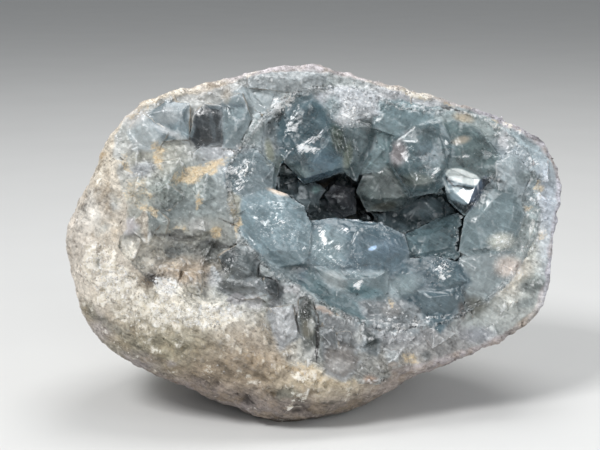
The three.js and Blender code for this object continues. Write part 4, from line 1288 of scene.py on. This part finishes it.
def chipped_crystals(piece, pressed, depths):
    """Broad facets with low steps and chips, and a back that is pressed against the stone."""
    points = points_of(piece)
    normals = normals_of(piece)
    face = to_face(points)
    ragged = wandering(face, 1.0, 4)
    tint = tinted(ragged, POCKET_EDGE_TINTS, (128, 143, 148))
    cloud = 0.75 - 0.2 * eased(face[:, 1], -4, 6)
    grain = 0.5 - 0.5 * eased(face[:, 1], -6, 0)
    sideways = 1 - turned_to_front(piece, *SIDES_IN_TURN)
    covered = painted_crystals(wandering(face, 0.35, 2.5), sideways, tint, cloud, grain)
    # veils with painted shadows, painted shade and painted highlights, laid on the surfaces that face the
    # front
    shaded = tint.copy()
    laid_veils_and_painted_light(wandering(face, 0.2, 2.0), shaded)
    tint += (1 - sideways)[:, None] * (shaded - tint)

    polish = marked(face, POLISHED_FACETS, 0.3)
    steps = chipped(points, 7, (0.03, 0.16), 7) + chipped(points, 2.0, (0.1, 0.45), 8) * grain
    steps += chipped(points, 3.4, (0.02, 0.1), 9) * (1 - grain)
    steps += chipped(points, 5.0, (0.2, 0.5), 12) * eased(face[:, 1], 1, 7)
    height = np.where(pressed, PRESSED_LIFT, steps * (1 - polish))
    height += lapped(depths, face, points) * (face[:, 1] < 2)
    set_points(piece, points + normals * height[:, None])

    # dark specks and painted shadow in cracks darken the colour
    dark = marked(ragged, DARK_SPECKS_AND_PAINTED_SHADOWS)[:, None]
    layers = front_layers(ragged, 1 - sideways)
    seam = 1 - eased(depths.from_seam(face), 0.8, 2.6)
    set_colour(piece, "tint", tint * (1 - 0.6 * dark))
    set_values(
        piece,
        cloud=np.maximum(np.maximum(cloud, 1.2 * layers["sugar"]), polish),
        grain=grain,
        edge=standing_out(piece, 3),
        polish=polish,
        rind=np.zeros(len(points)),
        druse=np.maximum(layers["sugar"], 0.14 * seam * (1 - covered)) * (face[:, 1] < 0) * ~pressed,
        **layers,
    )


RIND_BAND = 6  # how deep below the nodule's first surface its weathered rind may lie, in millimetres
RIND_REACH = 3 * MM  # how far outside the rind the crust is looked for
RIND_COVER = 0.5 * MM


def lifted_over(rind_piece, crust):
    """Lifts the rind behind the face over any crust that would show through it."""
    points, normals = points_of(rind_piece), normals_of(rind_piece)
    sides = [list(polygon.vertices) for polygon in crust.data.polygons]
    inner = BVHTree.FromPolygons(points_of(crust).tolist(), sides)
    face = to_face(points)
    outwards = np.einsum("ij,ij->i", normals, points - np.array(FACE_ORIGIN)) > 0
    behind = np.flatnonzero((face[:, 1] > 0) & (under_rind(face) < RIND_BAND) & outwards)
    lift = np.zeros(len(points))
    for i in behind:
        distance = inner.ray_cast(Vector(points[i]), Vector(normals[i]), RIND_REACH)[3]
        if distance is not None:
            lift[i] = distance + RIND_COVER
    lift = np.maximum(smoothed(rind_piece, lift[:, None], 0.6, 3)[:, 0], lift)
    set_points(rind_piece, points + normals * lift[:, None])


GRAIN_CORNERS = 9


def small_grain():
    """A blocky grain about one unit across, with a few flat sides."""
    mesh = bmesh.new()
    rng = np.random.default_rng(21)
    for way in rng.normal(size=(GRAIN_CORNERS, 3)):
        mesh.verts.new(Vector(way).normalized() * 0.5)
    bmesh.ops.convex_hull(mesh, input=mesh.verts)
    data = bpy.data.meshes.new("small grain")
    mesh.to_mesh(data)
    mesh.free()
    return bpy.data.objects.new("small grain", data)


FULL_TURN = 6.283


def druse_tree():
    """Grains scattered over two surfaces, as thickly as their `druse` attribute says."""
    tree = bpy.data.node_groups.new("druse", "GeometryNodeTree")
    kinds = {"Stone": "Object", "Crust": "Object", "Grain": "Object", "Thickness": "Float"}
    kinds.update({"Least size": "Float", "Greatest size": "Float", "Seed": "Int", "Finish": "Material"})
    for name, kind in kinds.items():
        tree.interface.new_socket(name=name, in_out="INPUT", socket_type="NodeSocket" + kind)
    tree.interface.new_socket(name="Grains", in_out="OUTPUT", socket_type="NodeSocketGeometry")
    given = add_node(tree, "NodeGroupInput").outputs

    def out(kind, settings=None, sockets=None, output=0):
        return Signal(tree, add_node(tree, kind, settings, sockets).outputs[output])

    def asked(name):
        return Signal(tree, given[name])

    surfaces = add_node(tree, "GeometryNodeJoinGeometry")
    for name in ("Stone", "Crust"):
        shape = out("GeometryNodeObjectInfo", None, {"Object": asked(name)}, "Geometry")
        tree.links.new(shape.socket, surfaces.inputs[0])
    share = out("GeometryNodeInputNamedAttribute", {"data_type": "FLOAT"}, {"Name": "druse"})
    spread = {"Mesh": Signal(tree, surfaces.outputs[0]), "Density": share * asked("Thickness")}
    spread["Seed"] = asked("Seed")
    places = out("GeometryNodeDistributePointsOnFaces", None, spread, "Points")
    turns = {0: (0, 0, 0), 1: (FULL_TURN, FULL_TURN, FULL_TURN), "Seed": asked("Seed")}
    turn = out("FunctionNodeRandomValue", {"data_type": "FLOAT_VECTOR"}, turns)
    sizes = {0: asked("Least size"), 1: asked("Greatest size"), "Seed": asked("Seed") + 1}
    size = out("FunctionNodeRandomValue", {"data_type": "FLOAT_VECTOR"}, sizes)
    grain = out("GeometryNodeObjectInfo", None, {"Object": asked("Grain")}, "Geometry")
    placed = {"Points": places, "Instance": grain, "Rotation": turn, "Scale": size}
    scattered = out("GeometryNodeInstanceOnPoints", None, placed)
    realized = out("GeometryNodeRealizeInstances", None, {0: scattered})
    coated = out("GeometryNodeSetMaterial", None, {"Geometry": realized, "Material": asked("Finish")})
    add_node(tree, "NodeGroupOutput", None, {0: coated})
    return tree


def druse_grains(stone, crust, finish):
    tree = druse_tree()
    piece = bpy.data.objects.new("druse_grains", bpy.data.meshes.new("druse_grains"))
    bpy.context.scene.collection.objects.link(piece)
    modifier = piece.modifiers.new("druse", "NODES")
    modifier.node_group = tree
    wanted = {"Stone": stone, "Crust": crust, "Grain": small_grain(), "Thickness": 1.6 / MM**2}
    wanted.update({"Least size": 0.3 * MM, "Greatest size": 1.0 * MM, "Seed": 5, "Finish": finish})
    for item in tree.interface.items_tree:
        if item.in_out == "INPUT":
            modifier[item.identifier] = wanted[item.name]
    ready = piece.evaluated_get(bpy.context.evaluated_depsgraph_get())
    mesh = bpy.data.meshes.new_from_object(ready)
    piece.modifiers.clear()
    piece.data = mesh
    set_points(piece, points_of(piece))
    return piece


def dressed(piece, finish, node, sharp):
    if finish:
        piece.data.materials.clear()
        piece.data.materials.append(finish)
    piece.data.set_sharp_from_angle(angle=math.radians(sharp))
    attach(piece, "root")
    if node:
        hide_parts(node)


# Studio


CAMERA_PLACE = (-3.95, -450, 4.56)  # square to the broken face, in its frame
SENSOR_WIDTH = 36
FOCAL_LENGTH = 88.8
FLOOR_HALF = 6.0
LIGHTS_AIM = Vector((0, 0, 0.05))


def camera_at_photo():
    lens = bpy.data.cameras.new("camera")
    lens.sensor_width = SENSOR_WIDTH
    lens.lens = FOCAL_LENGTH
    lens.clip_end = 20
    camera = bpy.data.objects.new("camera", lens)
    bpy.context.scene.collection.objects.link(camera)
    camera.location = from_face(np.array(CAMERA_PLACE))
    camera.rotation_euler = (math.radians(90) - LEAN, 0, 0)
    bpy.context.scene.camera = camera


def softbox(name, place, size, power, colour=(1, 1, 1)):
    light = bpy.data.lights.new(name, "AREA")
    light.shape = "RECTANGLE"
    light.size, light.size_y = size
    light.energy = power
    light.color = colour
    holder = bpy.data.objects.new(name, light)
    bpy.context.scene.collection.objects.link(holder)
    holder.location = place
    holder.rotation_euler = (Vector(place) - LIGHTS_AIM).to_track_quat("Z", "Y").to_euler()


def studio():
    floor = bpy.data.meshes.new("floor")
    corners = [(x * FLOOR_HALF, y * FLOOR_HALF, 0) for x, y in ((-1, -1), (1, -1), (1, 1), (-1, 1))]
    floor.from_pydata(corners, [], [(0, 1, 2, 3)])
    floor.materials.append(floor_finish())
    holder = bpy.data.objects.new("floor", floor)
    bpy.context.scene.collection.objects.link(holder)

    world = bpy.data.worlds.new("studio")
    world.use_nodes = True
    sky = world.node_tree.nodes["Background"]
    sky.inputs["Color"].default_value = (0.58, 0.6, 0.62, 1)
    sky.inputs["Strength"].default_value = 0.5
    bpy.context.scene.world = world
    softbox("key", (-0.42, -0.49, 0.73), (0.3, 0.28), 6.5)
    softbox("front", (0.1, -0.85, 0.35), (0.3, 0.2), 1.2, (0.96, 0.98, 1))
    softbox("side", (0.6, -0.35, 0.35), (0.3, 0.3), 1.2, (0.93, 0.97, 1))
    softbox("top", (0.1, 0.2, 0.9), (0.5, 0.5), 4.0)
    bpy.context.scene.view_settings.view_transform = "Standard"


# The model

stone = refined_copy("stone", "broken_nodule", edge_limits(2, 0.9, 2.4))
crystals = refined_copy("pocket_crystals", "crystal_crust", edge_limits(12, 0.7, 1.5))
depths = FrontDepths([stone, crystals])
against_stone = pressed_on_stone(crystals)
levelled(stone, 0, depths, 0.45, np.zeros(len(stone.data.vertices), bool))
levelled(crystals, 1, depths, 0.88, against_stone)
weathered_stone(stone, depths)
chipped_crystals(crystals, against_stone, depths)
lifted_over(stone, crystals)
grains = druse_grains(stone, crystals, druse_finish())
dressed(stone, stone_finish(), "stone", 38)
dressed(crystals, crystal_finish(), "pocket_crystals", 22)
dressed(grains, None, None, 22)
camera_at_photo()
studio()
